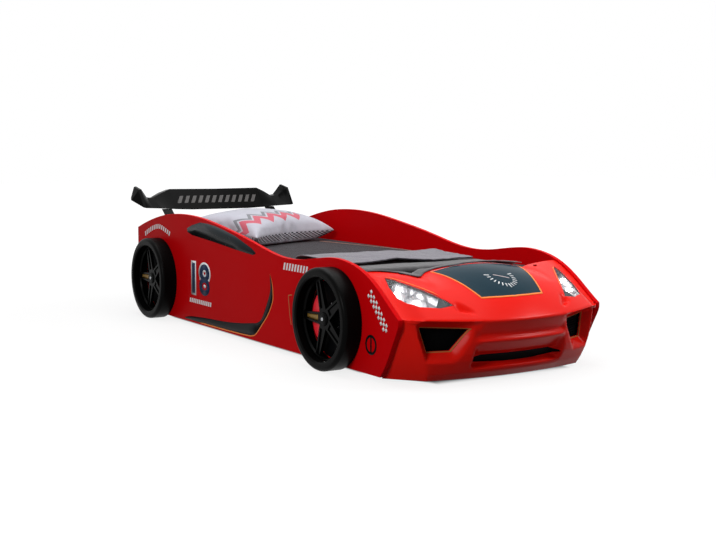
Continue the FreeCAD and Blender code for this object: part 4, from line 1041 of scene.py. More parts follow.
def makeScrewCap(name, side):
    cap = bmesh.new()
    wide, narrow = (radius / 1000 for radius in hoodScrew["cap"])
    bmesh.ops.create_cone(cap, cap_ends=True, segments=28, radius1=wide, radius2=narrow,
                          depth=hoodScrew["capHeight"] / 1000)
    bmesh.ops.bevel(cap, geom=[edge for edge in cap.edges if edge.calc_face_angle(0) > 0.9], offset=0.0008,
                    segments=2, affect="EDGES")
    a, d = hoodScrew["at"]
    bmesh.ops.translate(cap, vec=onHood(side * a, d, hoodScrew["lift"]), verts=cap.verts)
    finishPiece(meshFrom(cap, "hood_screw_cap_" + name), mattBlack)


for name, side in sides.items():
    makeHeadlight(name, side)
    makeScrewCap(name, side)
print("headlights made")


# black mesh behind the intakes and the slot

mesh = {"cell": 11.0, "bar": 2.2, "behind": 3.0, "back": 1.5, "rowPitch": 0.866, "ring": 0.57,
        "plate": [(222, 212), (394, 216), (370, 112), (278, 114)], "middle": (308, 164), "face": 482}


def honeycombTree():
    # six-sided cells on a staggered grid, kept where they stand over the plate
    tree, sockets, given = startTree("honeycomb", Cell="Float", Bar="Float", Width="Float", Height="Float",
                                     Columns="Int", Rows="Int")
    grid = addNode(tree, "GeometryNodeMeshGrid", links={
        "Size X": given["Width"], "Size Y": given["Height"], "Vertices X": given["Columns"],
        "Vertices Y": given["Rows"]})
    index = addNode(tree, "GeometryNodeInputIndex")
    odd = addNode(tree, "ShaderNodeMath", {1: 2.0}, {0: index}, operation="FLOORED_MODULO")
    shift = addNode(tree, "ShaderNodeMath", links={0: odd, 1: given["Cell"]}, operation="MULTIPLY")
    half = addNode(tree, "ShaderNodeMath", {1: 0.5}, {0: shift}, operation="MULTIPLY")
    move = addNode(tree, "ShaderNodeCombineXYZ", links={0: half})
    staggered = addNode(tree, "GeometryNodeSetPosition", links={"Geometry": grid, "Offset": move})
    place = addNode(tree, "GeometryNodeInputPosition")
    below = addNode(tree, "ShaderNodeVectorMath", {1: (0.0, 0.0, -1.0)}, {0: place}, operation="ADD")
    ray = addNode(tree, "GeometryNodeRaycast", {"Ray Direction": (0.0, 0.0, 1.0), "Ray Length": 3.0},
                  {"Target Geometry": given["Geometry"], "Source Position": below})
    size = addNode(tree, "ShaderNodeMath", {1: mesh["ring"]}, {0: given["Cell"]}, operation="MULTIPLY")
    ring = addNode(tree, "GeometryNodeCurvePrimitiveCircle", {"Resolution": 6}, {"Radius": size})
    wire = addNode(tree, "GeometryNodeCurvePrimitiveCircle", {"Resolution": 4}, {"Radius": given["Bar"]})
    cell = addNode(tree, "GeometryNodeCurveToMesh", links={"Curve": ring, "Profile Curve": wire})
    turned = addNode(tree, "GeometryNodeTransform", {"Rotation": (0.0, 0.0, math.radians(30))},
                     {"Geometry": cell})
    cells = addNode(tree, "GeometryNodeInstanceOnPoints", links={
        "Points": staggered, "Instance": turned, "Selection": ray.outputs["Is Hit"]})
    endTree(tree, given, cells)
    return tree, sockets


honeycomb = honeycombTree()


def meshPanel(name, plate, place, nodes):
    # a honeycomb cut to a plate's outline, laid flat and then put in its place
    border = [tuple(range(len(plate)))]
    flat = meshPiece(name, [Vector((u / 1000, v / 1000, 0)) for u, v in plate], border)
    reach = max(abs(c) for p in plate for c in p) * 2 / 1000
    cell, rowPitch = mesh["cell"] / 1000, mesh["cell"] / 1000 * mesh["rowPitch"]
    across, up = math.ceil(reach / cell), math.ceil(reach / rowPitch)
    up += 1 - up % 2  # an odd count, so that each second point starts a shifted row
    useTree(flat, honeycomb, {"Cell": cell, "Bar": mesh["bar"] / 2000, "Width": across * cell,
                              "Height": (up - 1) * rowPitch, "Columns": across + 1, "Rows": up,
                              "Material": mattBlack}, place)
    finishPiece(flat, mattBlack, nodes=nodes)
    back = meshPiece(name + "_back", [Vector((u, v, -mesh["behind"])) / 1000 for u, v in plate], border)
    thicken(back, mesh["back"], -0.5)
    back.data.transform(place)
    finishPiece(back, mattBlack)


def makeMeshPanels():
    lean = math.atan(face["intakeSlope"])
    a, z = mesh["middle"]
    depth = mesh["face"] - face["intakeSlope"] * (a - face["intakeFrom"])
    for name, side in sides.items():
        plate = [(side * (u - a) / math.cos(lean), v - z) for u, v in mesh["plate"]]
        place = (Matrix.Translation(at(side * a, -depth, z))
                 @ Matrix.Rotation(side * lean, 4, "Z") @ Matrix.Rotation(math.radians(90), 4, "X"))
        meshPanel("intake_honeycomb_" + name, plate, place, ["intake_mesh_" + name])


sleeve = {"grow": 1.5, "start": -3.6, "wall": 1.2, "intakeDepth": 24, "slotDepth": 7}


def meshSleeve(name, outline, depth):
    # the thin frame that closes the way past the edge of a mesh, round its opening
    edge = resampled(grown(outline, sleeve["grow"]), 8, closed=True)
    front = [onFace(x, z, sleeve["start"]) for x, z in edge]
    count = len(front)
    points = front + [place + Vector((0, depth / 1000, 0)) for place in front]
    faces = [(k, (k + 1) % count, count + (k + 1) % count, count + k) for k in range(count)]
    piece = meshPiece(name, points, faces)
    thicken(piece, sleeve["wall"], 0.0)
    finishPiece(piece, mattBlack)


makeMeshPanels()
for name, side in sides.items():
    meshSleeve("intake_frame_" + name, mirrored(intakeHole, side), sleeve["intakeDepth"])
meshSleeve("slot_frame", slotOutline, sleeve["slotDepth"])
softened("lower_grille", mattBlack, 0.8, segments=2)
print("mesh panels made")


# wheels

wheel = {"wedge": (46, 128), "wedgeWidths": (25, 15), "steps": 8, "dot": (7, 6), "dotHeight": 1.6,
         "dotLift": 0.6, "faceLift": 0.4}


def wheelFilm(name, axle, side, rim):
    # a gold wedge stuck on the spoke that points backwards
    surface = BVHTree.FromObject(rim, bpy.context.evaluated_depsgraph_get())
    start, end = wheel["wedge"]
    wide, narrow = wheel["wedgeWidths"]
    steps = wheel["steps"]
    points = []
    for step in range(steps + 1):
        reach = start + (end - start) * step / steps
        half = (wide + (narrow - wide) * step / steps) / 2
        for lift in (half, 0, -half):
            outside = at(side * 700, axle + reach, axleHeight + lift)
            place = surface.ray_cast(outside, Vector((-side, 0, 0)))[0]
            points.append(place + Vector((side * wheel["faceLift"] / 1000, 0, 0)))
    film(meshPiece(name, points, gridFaces(steps + 1, 3)), Vector((side, 0, 0)), goldFilm)


def hubDots():
    # the small silver badge blank at each hub
    dots = bmesh.new()
    caps = [vertex.co.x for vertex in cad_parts["hub_caps"].data.vertices]
    wide, narrow = (radius / 1000 for radius in wheel["dot"])
    for side in sides.values():
        turn = Matrix.Rotation(math.radians(90 * side), 4, "Y")
        for axle in axles.values():
            centre = at(0, axle, axleHeight)
            centre.x = (max(caps) if side > 0 else min(caps)) + side * wheel["dotLift"] / 1000
            bmesh.ops.create_cone(dots, cap_ends=True, segments=24, radius1=wide, radius2=narrow,
                                  depth=wheel["dotHeight"] / 1000, matrix=Matrix.Translation(centre) @ turn)
    finishPiece(meshFrom(dots, "hub_dots"), silverPaint)


for place in ("front_right", "front_left", "rear_right", "rear_left"):
    softened("wheel_tyre_" + place, wheelBlack, 3, shortest=3)
    softened("wheel_rim_" + place, glossBlack, 1.5, shortest=3)
    softened("brake_disc_" + place, mattBlack, 1, segments=2)
    softened("brake_calliper_" + place, calliperRed, 1.5, shortest=2)
softened("hub_caps", glossBlack, 1, segments=2)
for name, side in sides.items():
    for spot, axle in axles.items():
        wheelFilm(f"spoke_film_{spot}_{name}", axle, side,
                  bpy.data.objects[f"wheel_rim_{spot}_{name}_finish"])
hubDots()
print("wheels finished")


# rows of small bars and checks that stand in the places of printed words

def barRowTree():
    # slanted bars along a line: one box, sheared, set at even steps and turned along the line
    tree, sockets, given = startTree("bar_row", Spacing="Float", Length="Float", Height="Float",
                                     Thickness="Float", Slant="Float")
    line = addNode(tree, "GeometryNodeMeshToCurve", links={0: given["Geometry"]})
    row = addNode(tree, "GeometryNodeResampleCurve", links={"Curve": line, "Length": given["Spacing"]},
                  mode="LENGTH")
    size = addNode(tree, "ShaderNodeCombineXYZ", links={
        0: given["Length"], 1: given["Height"], 2: given["Thickness"]})
    box = addNode(tree, "GeometryNodeMeshCube", links={"Size": size})
    place = addNode(tree, "GeometryNodeInputPosition")
    parts = addNode(tree, "ShaderNodeSeparateXYZ", links={0: place}).outputs
    lean = addNode(tree, "ShaderNodeMath", links={0: parts["Y"], 1: given["Slant"]}, operation="MULTIPLY")
    offset = addNode(tree, "ShaderNodeCombineXYZ", links={0: lean})
    slanted = addNode(tree, "GeometryNodeSetPosition", links={"Geometry": box, "Offset": offset})
    tangent = addNode(tree, "GeometryNodeInputTangent")
    turn = addNode(tree, "FunctionNodeAlignRotationToVector", links={"Vector": tangent}, axis="X",
                   pivot_axis="Z")
    bars = addNode(tree, "GeometryNodeInstanceOnPoints",
                   links={"Points": row, "Instance": slanted, "Rotation": turn})
    endTree(tree, given, bars)
    return tree, sockets


barRow = barRowTree()


def makeBarRow(name, line, place, material, sizes):
    # bars along a line of flat millimetre points, put in place by a matrix
    points = [Vector((u / 1000, v / 1000, 0)) for u, v in line]
    piece = meshPiece(name, points, [])
    piece.data.clear_geometry()
    piece.data.from_pydata(points, [(k, k + 1) for k in range(len(points) - 1)], [])
    values = {size.capitalize(): sizes[size] / 1000 for size in ("spacing", "length", "height", "thickness")}
    useTree(piece, barRow, {**values, "Slant": sizes["slant"], "Material": material}, place)
    finishPiece(piece, material)


# spoiler: silver bars along the front of the wing

spoilerBars = {"half": 214, "spacing": 36, "length": 20, "height": 44, "thickness": 3.0, "slant": 0.55,
               "levels": (0.27, 0.57), "lift": 0.8}
satinSilver = paintedPlastic("satin_silver_paint", "#3a3736", 0.4)


def makeSpoilerBars():
    wing = BVHTree.FromObject(bpy.data.objects["spoiler_wing_finish"], bpy.context.evaluated_depsgraph_get())
    low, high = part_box("spoiler_wing")
    lower, upper = (wing.ray_cast(Vector((0, low.y - 0.2, low.z + (high.z - low.z) * level)),
                                  Vector((0, 1, 0)))[0] for level in spoilerBars["levels"])
    along, up = Vector((1, 0, 0)), (upper - lower).normalized()
    out = along.cross(up)
    turn = Matrix((along, up, out)).transposed().to_4x4()
    centre = (lower + upper) / 2 + out * spoilerBars["lift"] / 1000
    half = spoilerBars["half"]
    makeBarRow("spoiler_bars", [(-half, 0), (half, 0)], Matrix.Translation(centre) @ turn, satinSilver,
               spoilerBars)


makeSpoilerBars()
print("spoiler bars made")


# prints on the side panels

panelPrint = {"face": 478, "gap": 0.1, "sweepWidth": 5, "sweepTaper": 60, "archWidth": 4.5,
              "digitsLift": 0.35}
windowOutline = [(1299, 456), (1240, 474), (1159, 490), (1080, 489), (1005, 483), (908, 469), (811, 452),
                 (656, 409), (620, 391), (647, 382), (812, 393), (1006, 410), (1245, 427), (1294, 438)]
sweepLine = [(499, 316), (482, 285), (474, 244), (478, 202), (517, 144), (569, 95), (622, 50), (658, 37),
             (713, 33), (864, 30), (1012, 29), (1180, 29), (1330, 30)]
sweepInner = [(499, 299), (497, 250), (516, 206), (569, 125), (610, 100), (658, 92), (768, 78), (912, 66),
              (1114, 57), (1270, 46), (1330, 34)]
archLine = [(317, 249), (346, 244), (342, 214), (334, 166), (322, 128)]
race = {"number": "18", "middle": (1155, 230), "height": 140, "capShare": 0.72, "wide": 1.16, "spacing": 1.02,
        "backing": 13, "stroke": 4}
ring = {"middle": (-253, 130), "outer": 37, "inner": 27, "bar": 9}
strip = {"line": [(-240, 318), (-292, 262), (-352, 190)], "cell": 12, "rows": 3}
printBars = {"number": {"place": (1162, 124), "line": [(-106, 0), (106, 0)], "spacing": 19, "length": 13,
                        "height": 20, "thickness": 0.3, "slant": 0.25},
             "rear": {"place": (1640, 425), "line": [(148, -25), (55, 8), (-31, 19), (-140, -7)],
                      "spacing": 22, "length": 13, "height": 22, "thickness": 0.3, "slant": 0.2},
             "middle": {"place": (291, 359), "line": [(-88, 0), (88, 0)], "spacing": 22, "length": 12,
                        "height": 29, "thickness": 0.3, "slant": 0.3}}


def onPanel(side, y, z, lift=0.0):
    # a place just off a panel's outer face
    return at(side * (panelPrint["face"] + panelPrint["gap"] + lift), y, z)


def panelPlace(side, y, z):
    # turns flat print points (along the reading direction, up) into a place on a panel's outer face
    turn = Matrix((Vector((0, side, 0)), Vector((0, 0, 1)), Vector((side, 0, 0)))).transposed().to_4x4()
    return Matrix.Translation(onPanel(side, y, z)) @ turn


def panelFilm(name, side, outline, material):
    # a film cut to an outline of (y, z) points and stuck on the panel
    outward = Vector((side, 0, 0))
    points = [onPanel(side, y, z) for y, z in outline]
    piece = turnedTowards(meshPiece(name, points, [tuple(range(len(points)))]), outward)
    with editing(piece.data) as cut:
        bmesh.ops.triangulate(cut, faces=cut.faces)
    film(piece, outward, material, 1.0)


def panelLine(name, side, points, width, material, lift=0.2, taper=0.0, closed=False):
    line = ribbon(name, points, width, lambda y, z: onPanel(side, y, z, lift), closed=closed, taper=taper)
    film(line, Vector((side, 0, 0)), material, 1.0)


def panelNumber(name, side, material, grow, lift):
    # race number: the built-in letterform, fattened by an offset
    text = bpy.data.curves.new(name, "FONT")
    text.body = race["number"]
    text.size = race["height"] / 1000 / race["capShare"]
    text.offset = grow / 1000
    text.space_character = race["spacing"]
    text.fill_mode = "FRONT"
    holder = bpy.data.objects.new(name + "_text", text)
    bpy.context.scene.collection.objects.link(holder)
    graph = bpy.context.evaluated_depsgraph_get()
    graph.update()
    flat = bpy.data.meshes.new_from_object(holder.evaluated_get(graph))
    bpy.data.objects.remove(holder)
    xs, ys = [v.co.x for v in flat.vertices], [v.co.y for v in flat.vertices]
    shift = Vector((-(min(xs) + max(xs)) / 2, -(min(ys) + max(ys)) / 2, 0))
    flat.transform(Matrix.Diagonal((race["wide"], 1, 1, 1)) @ Matrix.Translation(shift))
    flat.transform(panelPlace(side, *race["middle"]))
    flat.transform(Matrix.Translation(Vector((side * lift / 1000, 0, 0))))
    flat.materials.clear()
    with editing(flat) as joined:
        bmesh.ops.remove_doubles(joined, verts=joined.verts, dist=2e-5)
    piece = bpy.data.objects.new(name, flat)
    bpy.context.scene.collection.objects.link(piece)
    film(piece, Vector((side, 0, 0)), material, 1.0)


def checkStrip(name, side):
    # a slanted strip of checks along the panel's front edge
    cell, rows = strip["cell"], strip["rows"]
    line = resampled(curved(strip["line"], 12, False), cell, False)
    points, faces = [], []
    for index in range(len(line) - 1):
        run = (line[index + 1] - line[index]).normalized()
        across = Vector((-run.y, run.x))
        for row in range(rows):
            if (index + row) % 2:
                continue
            low, high = (row - rows / 2) * cell, (row + 1 - rows / 2) * cell
            faces.append(tuple(range(len(points), len(points) + 4)))
            for spot, level in ((0, low), (1, low), (1, high), (0, high)):
                points.append(onPanel(side, *(line[index + spot] + across * level)))
    film(meshPiece(name, points, faces), Vector((side, 0, 0)), whiteVinyl, 1.0)


def makePanelPrints(name, side):
    panelFilm("side_window_" + name, side, windowOutline, windowPrint)
    sweep, inner = ([tuple(p) for p in curved(line, 6, False)] for line in (sweepLine, sweepInner))
    panelFilm("sweep_field_" + name, side, sweep + inner[::-1], blackVinyl)
    panelLine("sweep_line_" + name, side, sweep[:-6], panelPrint["sweepWidth"], orangeVinyl,
              taper=panelPrint["sweepTaper"])
    panelLine("arch_line_" + name, side, archLine, panelPrint["archWidth"], tanVinyl)
    panelNumber("number_backing_" + name, side, whiteVinyl, race["backing"], 0)
    panelNumber("number_digits_" + name, side, navyVinyl, race["stroke"],
                panelPrint["digitsLift"])
    for part, row in printBars.items():
        line = row["line"]
        if len(line) > 2:  # a curved row, drawn for the left side
            line = [tuple(p) for p in curved(mirrored(line, side), 8, False)]
        makeBarRow(f"{part}_bars_{name}", line, panelPlace(side, *row["place"]), whiteVinyl,
                   row)
    checkStrip("front_checks_" + name, side)
    y, z = ring["middle"]
    loop = circle(y, z, (ring["outer"] + ring["inner"]) / 2, 40)
    panelLine("front_ring_" + name, side, loop, ring["outer"] - ring["inner"], blackVinyl,
              closed=True)
    panelLine("front_ring_bar_" + name, side, [(y, z - ring["inner"]), (y, z + ring["inner"])], ring["bar"],
              blackVinyl, lift=0.1)


windowPrint = windowFilm()
for name, side in sides.items():
    makePanelPrints(name, side)
print("panel prints made")


# bedding

def ripple(x, y, scale, seed):
    return noise.noise(Vector((x / scale, y / scale, seed)))


def closeTube(name, line, radius, closed=True, sides=8):
    # a thin tube along a line of places, with its ends closed
    points, faces = [], []
    count = len(line)
    for index, here in enumerate(line):
        before = line[index - 1] if closed or index else here
        after = line[(index + 1) % count] if closed or index < count - 1 else here
        run = (after - before).normalized()
        side = run.cross(Vector((0.02, 0.01, 1))).normalized()
        up = side.cross(run)
        for k in range(sides):
            turn = math.tau * k / sides
            points.append(here + (side * math.cos(turn) + up * math.sin(turn)) * radius)
    for index in range(count if closed else count - 1):
        after = (index + 1) % count
        for k in range(sides):
            other = (k + 1) % sides
            faces.append((index * sides + k, index * sides + other, after * sides + other, after * sides + k))
    if not closed:
        faces += [tuple(range(sides))[::-1], tuple((count - 1) * sides + k for k in range(sides))]
    piece = meshPiece(name, points, faces)
    with editing(piece.data) as fixed:
        bmesh.ops.recalc_face_normals(fixed, faces=fixed.faces)
    return piece


def roundedLoop(low, high, radius, z, steps=8):
    # a rounded rectangle of places at one height
    loop = []
    corners = ((high.x, high.y, -1, -1), (low.x, high.y, 1, -1), (low.x, low.y, 1, 1), (high.x, low.y, -1, 1))
    for quarter, (cornerX, cornerY, wayX, wayY) in enumerate(corners):
        for step in range(steps + 1):
            turn = math.radians(90 * quarter + 90 * step / steps)
            loop.append(Vector((cornerX + wayX * radius + radius * math.cos(turn),
                                cornerY + wayY * radius + radius * math.sin(turn), z)))
    return loop


mattress = {"rounding": 24, "tape": 3.2, "tapeInset": 2, "tapeLevel": 30}


def makeMattress():
    # a foam block in a quilted cover, with rounded edges and a tape along both of them
    low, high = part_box("mattress")
    block = bmesh.new()
    bmesh.ops.create_cube(block, size=1)
    for vertex in block.verts:
        vertex.co = Vector([(l + h) / 2 + c * (h - l) for l, h, c in zip(low, high, vertex.co)])
    bmesh.ops.bevel(block, geom=block.edges[:], offset=mattress["rounding"] / 1000, segments=5,
                    affect="EDGES")
    piece = meshFrom(block, "mattress_padded")
    finishPiece(piece, ticking, body="bedding", nodes=["mattress"])
    inset = Vector((1, 1, 0)) * mattress["tapeInset"] / 1000
    level = mattress["tapeLevel"] / 1000
    for name, z in (("lower", low.z + level), ("upper", high.z - level)):
        loop = roundedLoop(low + inset, high - inset, mattress["rounding"] / 1000, z)
        tape = closeTube(f"mattress_tape_{name}", loop, mattress["tape"] / 1000)
        finishPiece(tape, greyTape, body="bedding")


bedspread = {"top": 352.0, "half": 453.5, "front": -139, "rear": 1866, "drop": 60, "round": 10, "step": 11,
             "cloth": 2.0, "pipingLift": 1.2, "pipingRadius": 2.2,
             "piping": [(331, 1442), (353, 1314), (375, 1186), (396, 1058), (408, 930), (416, 800),
                        (421, 640), (424, 470)]}


def makeBedspread():
    # a cotton spread laid over the mattress, tucked a hand's width down every side
    values = bedspread
    turn = values["round"]
    arc = math.pi / 2 * turn

    def wrapped(flat, half):
        # a flat distance from the middle turned into (place across, fall)
        reach = abs(flat)
        flatHalf = half - turn
        if reach <= flatHalf:
            return flat, 0.0
        sign = 1 if flat > 0 else -1
        if reach <= flatHalf + arc:
            angle = (reach - flatHalf) / turn
            return sign * (flatHalf + turn * math.sin(angle)), turn * (1 - math.cos(angle))
        return sign * half, turn + reach - flatHalf - arc

    halfLength = (values["rear"] - values["front"]) / 2
    middle = (values["rear"] + values["front"]) / 2
    spanX, spanY = (half - turn + arc + values["drop"] - turn for half in (values["half"], halfLength))
    columns, rows = round(2 * spanX / values["step"]), round(2 * spanY / values["step"])
    points = []
    for row in range(rows + 1):
        flatY = spanY * (2 * row / rows - 1)
        y, fallY = wrapped(flatY, halfLength)
        free = smooth(y + middle, 360, 460) * (1 - smooth(y + middle, 1180, 1240) * 0.85)
        for column in range(columns + 1):
            flatX = spanX * (2 * column / columns - 1)
            x, fallX = wrapped(flatX, values["half"])
            crease = (1.5 * ripple(flatX + 0.6 * flatY, flatY * 0.3, 46, 3.7)
                      + 0.9 * ripple(flatX, flatY, 25, 8.1))
            fall = max(fallX, fallY)
            lift = max(0.0, crease + 0.7) * free if fall == 0 else 0.0
            points.append(at(x, y + middle, values["top"] - fall + lift))
    piece = turnedTowards(meshPiece("bedspread_laid", points, gridFaces(rows + 1, columns + 1)), upwards)
    thicken(piece, values["cloth"], -1)
    finishPiece(piece, darkCotton, body="bedding", nodes=["bedspread"], sharp=80)
    line = [at(x, y, values["top"] + values["pipingLift"]) for x, y in values["piping"]]
    stripe = closeTube("bedspread_piping", resampled3(line, 0.012), values["pipingRadius"] / 1000,
                       closed=False)
    finishPiece(stripe, tanCord, body="bedding")


def resampled3(points, spacing):
    # a smooth line in space at an even spacing
    fine = curved(points, 8, False)
    line, left = [fine[0]], spacing
    for a, b in zip(fine, fine[1:]):
        long = (b - a).length
        while left <= long:
            line.append(a.lerp(b, left / long))
            left += spacing
        left -= long
    return line


blanket = {"near": -446, "far": 168, "step": 8, "samples": 240, "cloth": 2.4, "rearFold": 338,
           "frontFold": -152, "levels": (356.5, 368, 380.5), "loft": 9.5, "top": 396,
           "frontEdge": [(-446, -40), (-346, -19), (-294, -6), (-212, 30), (-155, 44), (-105, -22),
                         (-54, -55), (8, -44), (107, -10), (150, -22), (250, 10)],
           "border": [(-446, -183), (-400, -187), (-345, -204), (-300, -266), (-258, -240), (-212, -232),
                      (-129, -240), (-60, -231), (0, -226), (60, -231), (129, -240), (212, -232),
                      (300, -200)],
           "crest": [(-446, 410), (-243, 411), (-67, 409), (21, 405), (70, 402), (110, 404), (175, 409),
                     (250, 405)],
           "farEdge": [(-300, 236), (-150, 240), (-120, 170), (10, 166), (160, 168), (292, 201), (400, 232)],
           # the last two values: a dark cord under the top layer's free edge, painted shade for the shadow
           # line there
           "shadowLineDrop": 3.2, "shadowLineRadius": 2.4}


def blanketProfile(x):
    # (y, z) along the folded blanket at one place across the bed, from the lowest free edge to the top one
    step, top = blanket["step"], blanket["top"]
    low, second, third = blanket["levels"]
    rear, front = blanket["rearFold"], blanket["frontFold"]
    border, edge, crest = (between(x, blanket[key]) for key in ("border", "frontEdge", "crest"))
    hump = crest - top
    line = []

    def run(start, end, level):
        steps = max(2, round(abs(end - start) / step))
        line.extend((start + (end - start) * k / steps, level) for k in range(steps + 1))

    def fold(y, lowZ, highZ, forward):
        radius = (highZ - lowZ) / 2
        for k in range(1, 6):
            angle = math.pi * k / 6
            line.append((y + forward * 1.2 * radius * math.sin(angle),
                         (lowZ + highZ) / 2 - radius * math.cos(angle)))

    spill = front - 4 - border
    for k in range(round(spill / step) + 1):
        y = border + spill * k / max(1, round(spill / step))
        over = hoodHeight(abs(x), max(180, -y)) + 2.6
        line.append((y, low + 7 + (over - low - 7) * smooth(-y, 140, 186)))
    run(front + 4, rear, low)
    fold(rear, low, second, 1)
    run(rear, front + 6, second)
    fold(front + 6, second, third + blanket["loft"], -1)
    steps = max(2, round((rear - 10 - front) / step))
    for k in range(steps + 1):
        y = front + 6 + (rear - 10 - front) * k / steps
        line.append((y, third + blanket["loft"] * smooth(60 - y, 0, 120)))
    fold(rear - 4, third, top + hump * 0.3, 1)
    steps = max(2, round((rear - 4 - edge) / step))
    for k in range(steps + 1):
        y = rear - 4 + (edge - rear + 4) * k / steps
        rise = math.sin(min(1, (rear - y) / 60) * math.pi / 2) * (1 - 0.55 * smooth(rear - y, 60, 300))
        line.append((y, top + hump * 0.3 + hump * 0.7 * rise))
    return line


def makeBlanket():
    # a quilted throw folded in four over the foot of the bed, its lowest layer spilling onto the hood
    samples, near, wide = blanket["samples"], blanket["near"], blanket["far"] - blanket["near"]
    columns = round(wide / blanket["step"])
    points = []
    longest = 0
    for column in range(columns + 1):
        share = column / columns
        line = resampled([Vector(p) for p in blanketProfile(near + share * wide)], 1)
        total = len(line) - 1
        longest = max(longest, total)
        for sample in range(samples):
            y, z = line[round(total * sample / (samples - 1))]
            here = near + share * (between(y, blanket["farEdge"]) - near)
            wave = 2.2 * ripple(here + 0.4 * y, y, 70, 1.3) + 1.1 * ripple(here, y, 24, 5.2)
            top = smooth(z, 388, blanket["top"])
            frontRoll = smooth(-y, 60, 140) * (1 - top)
            z += wave * (0.35 + 0.9 * top + 0.5 * frontRoll) * smooth(z, 354, 368)
            sway = 3.5 * ripple(here, 0, 60, 2.2 + z / 40) + 1.5 * ripple(here, 0, 18, 6.0)
            y += sway * (0.4 + 0.6 * top)
            if -y > 176:
                z = max(z, hoodHeight(min(abs(here), hood["half"]), -y) + 2.9)
            points.append(at(here, y, z))
    piece = meshPiece("blanket_folded", points, gridFaces(columns + 1, samples))
    topFaces = sum((p.normal.z for p in piece.data.polygons if p.center.z > 0.394), 0.0)
    if topFaces < 0:
        piece.data.flip_normals()
    wall = thicken(piece, blanket["cloth"], -1)
    wall.use_even_offset = False
    wall.material_offset = 1
    finishPiece(piece, [liningLight, liningDark], body="bedding",
                nodes=["folded_blanket"], sharp=80)
    # a dark cord just under the top layer's free edge: painted shade that stands in for the shadow line below
    # that edge
    drop = Vector((0, 0, blanket["shadowLineDrop"] / 1000))
    edge = [point - drop for point in points[samples - 1::samples]]
    shadowLine = closeTube("blanket_shadow_line", edge, blanket["shadowLineRadius"] / 1000, closed=False)
    finishPiece(shadowLine, shadowCord, body="bedding")


pillow = {"flat": (0.715, 0.5), "step": 0.0105, "middle": (28, 1515), "turn": 25, "tilt": 5.5,
          "size": (0.668, 0.452, 0.178), "sink": 0.021, "settle": 0.012, "rest": 355.2, "frames": 20,
          "pressure": 2.2}


def pillowCover():
    # two flat panels seamed at the edge, with their cutting-out places kept as a map
    width, depth = pillow["flat"]
    columns, rows = round(width / pillow["step"]), round(depth / pillow["step"])
    points, faces, flat = [], [], []
    index = {}
    for layer in (1, -1):
        for row in range(rows + 1):
            for column in range(columns + 1):
                rim = row in (0, rows) or column in (0, columns)
                key = (0 if rim else layer, row, column)
                if key not in index:
                    index[key] = len(points)
                    u, v = (column / columns - 0.5) * width, (row / rows - 0.5) * depth
                    edge = min(width / 2 - abs(u), depth / 2 - abs(v))
                    points.append(Vector((u, v, layer * (0.0 if rim else 0.004 + 0.1 * edge))))
                    flat.append((u, v, layer))
        for row in range(rows):
            for column in range(columns):
                corners = [index.get((0, r, c), index.get((layer, r, c))) for r, c in
                           ((row, column), (row, column + 1), (row + 1, column + 1), (row + 1, column))]
                faces.append(tuple(corners if layer > 0 else corners[::-1]))
    piece = meshPiece("pillow_padded", points, faces)
    layer = piece.data.uv_layers.new(name="cut")
    for polygon in piece.data.polygons:
        under = 0 if polygon.index < rows * columns else 1
        for loop in polygon.loop_indices:
            u, v, _ = flat[piece.data.loops[loop].vertex_index]
            layer.data[loop].uv = (u + 0.5, v + 0.5 + under)
    return piece


def inflate(piece):
    # blows the seamed cover up as its filling would
    cloth = piece.modifiers.new("filling", "CLOTH")
    settings = cloth.settings
    settings.quality = 8
    settings.mass = 0.25
    settings.tension_stiffness, settings.compression_stiffness = 10, 1
    settings.shear_stiffness = 1.5
    settings.bending_stiffness = 2
    settings.tension_damping = settings.compression_damping = 12
    settings.use_pressure = True
    settings.uniform_pressure_force = pillow["pressure"]
    settings.effector_weights.gravity = 0
    cloth.collision_settings.use_collision = False
    cloth.collision_settings.use_self_collision = False
    cloth.point_cache.frame_start, cloth.point_cache.frame_end = 1, pillow["frames"]
    for number in range(1, pillow["frames"] + 1):
        bpy.context.scene.frame_set(number)
    freeze(piece)
    with editing(piece.data) as eased:
        for turn in range(6):
            bmesh.ops.smooth_vert(eased, verts=eased.verts, factor=0.45, use_axis_x=True, use_axis_y=True,
                                  use_axis_z=True)


def makePillow():
    piece = pillowCover()
    inflate(piece)
    places = [vertex.co.copy() for vertex in piece.data.vertices]
    spans = [max(p[k] for p in places) - min(p[k] for p in places) for k in range(3)]
    scale = [size / span for size, span in zip(pillow["size"], spans)]
    turn = (Matrix.Rotation(math.radians(pillow["turn"]), 4, "Z")
            @ Matrix.Rotation(math.radians(pillow["tilt"]), 4, "X"))
    middle = at(*pillow["middle"], pillow["rest"])
    for vertex in piece.data.vertices:
        vertex.co = turn @ Vector([c * s for c, s in zip(vertex.co, scale)])
    low = min(vertex.co.z for vertex in piece.data.vertices)
    settle = pillow["settle"]
    for vertex in piece.data.vertices:
        z = vertex.co.z - low - pillow["sink"]  # the filling settles and lies flat on the bed
        if z < settle:
            z = settle * math.exp((z - settle) / settle)
        vertex.co = middle + Vector((vertex.co.x, vertex.co.y, z))
    detail = piece.modifiers.new("fine", "SUBSURF")
    detail.levels = detail.render_levels = 1
    finishPiece(piece, pillowCotton, body="pillow_body", nodes=["pillow"], sharp=180)


percale = {"squeeze": (1.0, 1.7, 1.0), "checks": 62.0, "checkColour": "#2b2836", "band": (1.253, 1.306),
           "bandColour": "#d6d6de", "chevron": 0.055, "across": (0.12, 0.66),
           "stripes": [((0.385, 0.432), "#c4606f"), ((0.445, 0.469), "#7d7f85")]}


def withinRange(tree, value, low, high):
    # 1 where a value lies between two others
    above = addNode(tree, "ShaderNodeMath", {1: low}, {0: value}, operation="GREATER_THAN")
    below = addNode(tree, "ShaderNodeMath", {1: high}, {0: value}, operation="LESS_THAN")
    return addNode(tree, "ShaderNodeMath", links={0: above, 1: below}, operation="MULTIPLY")


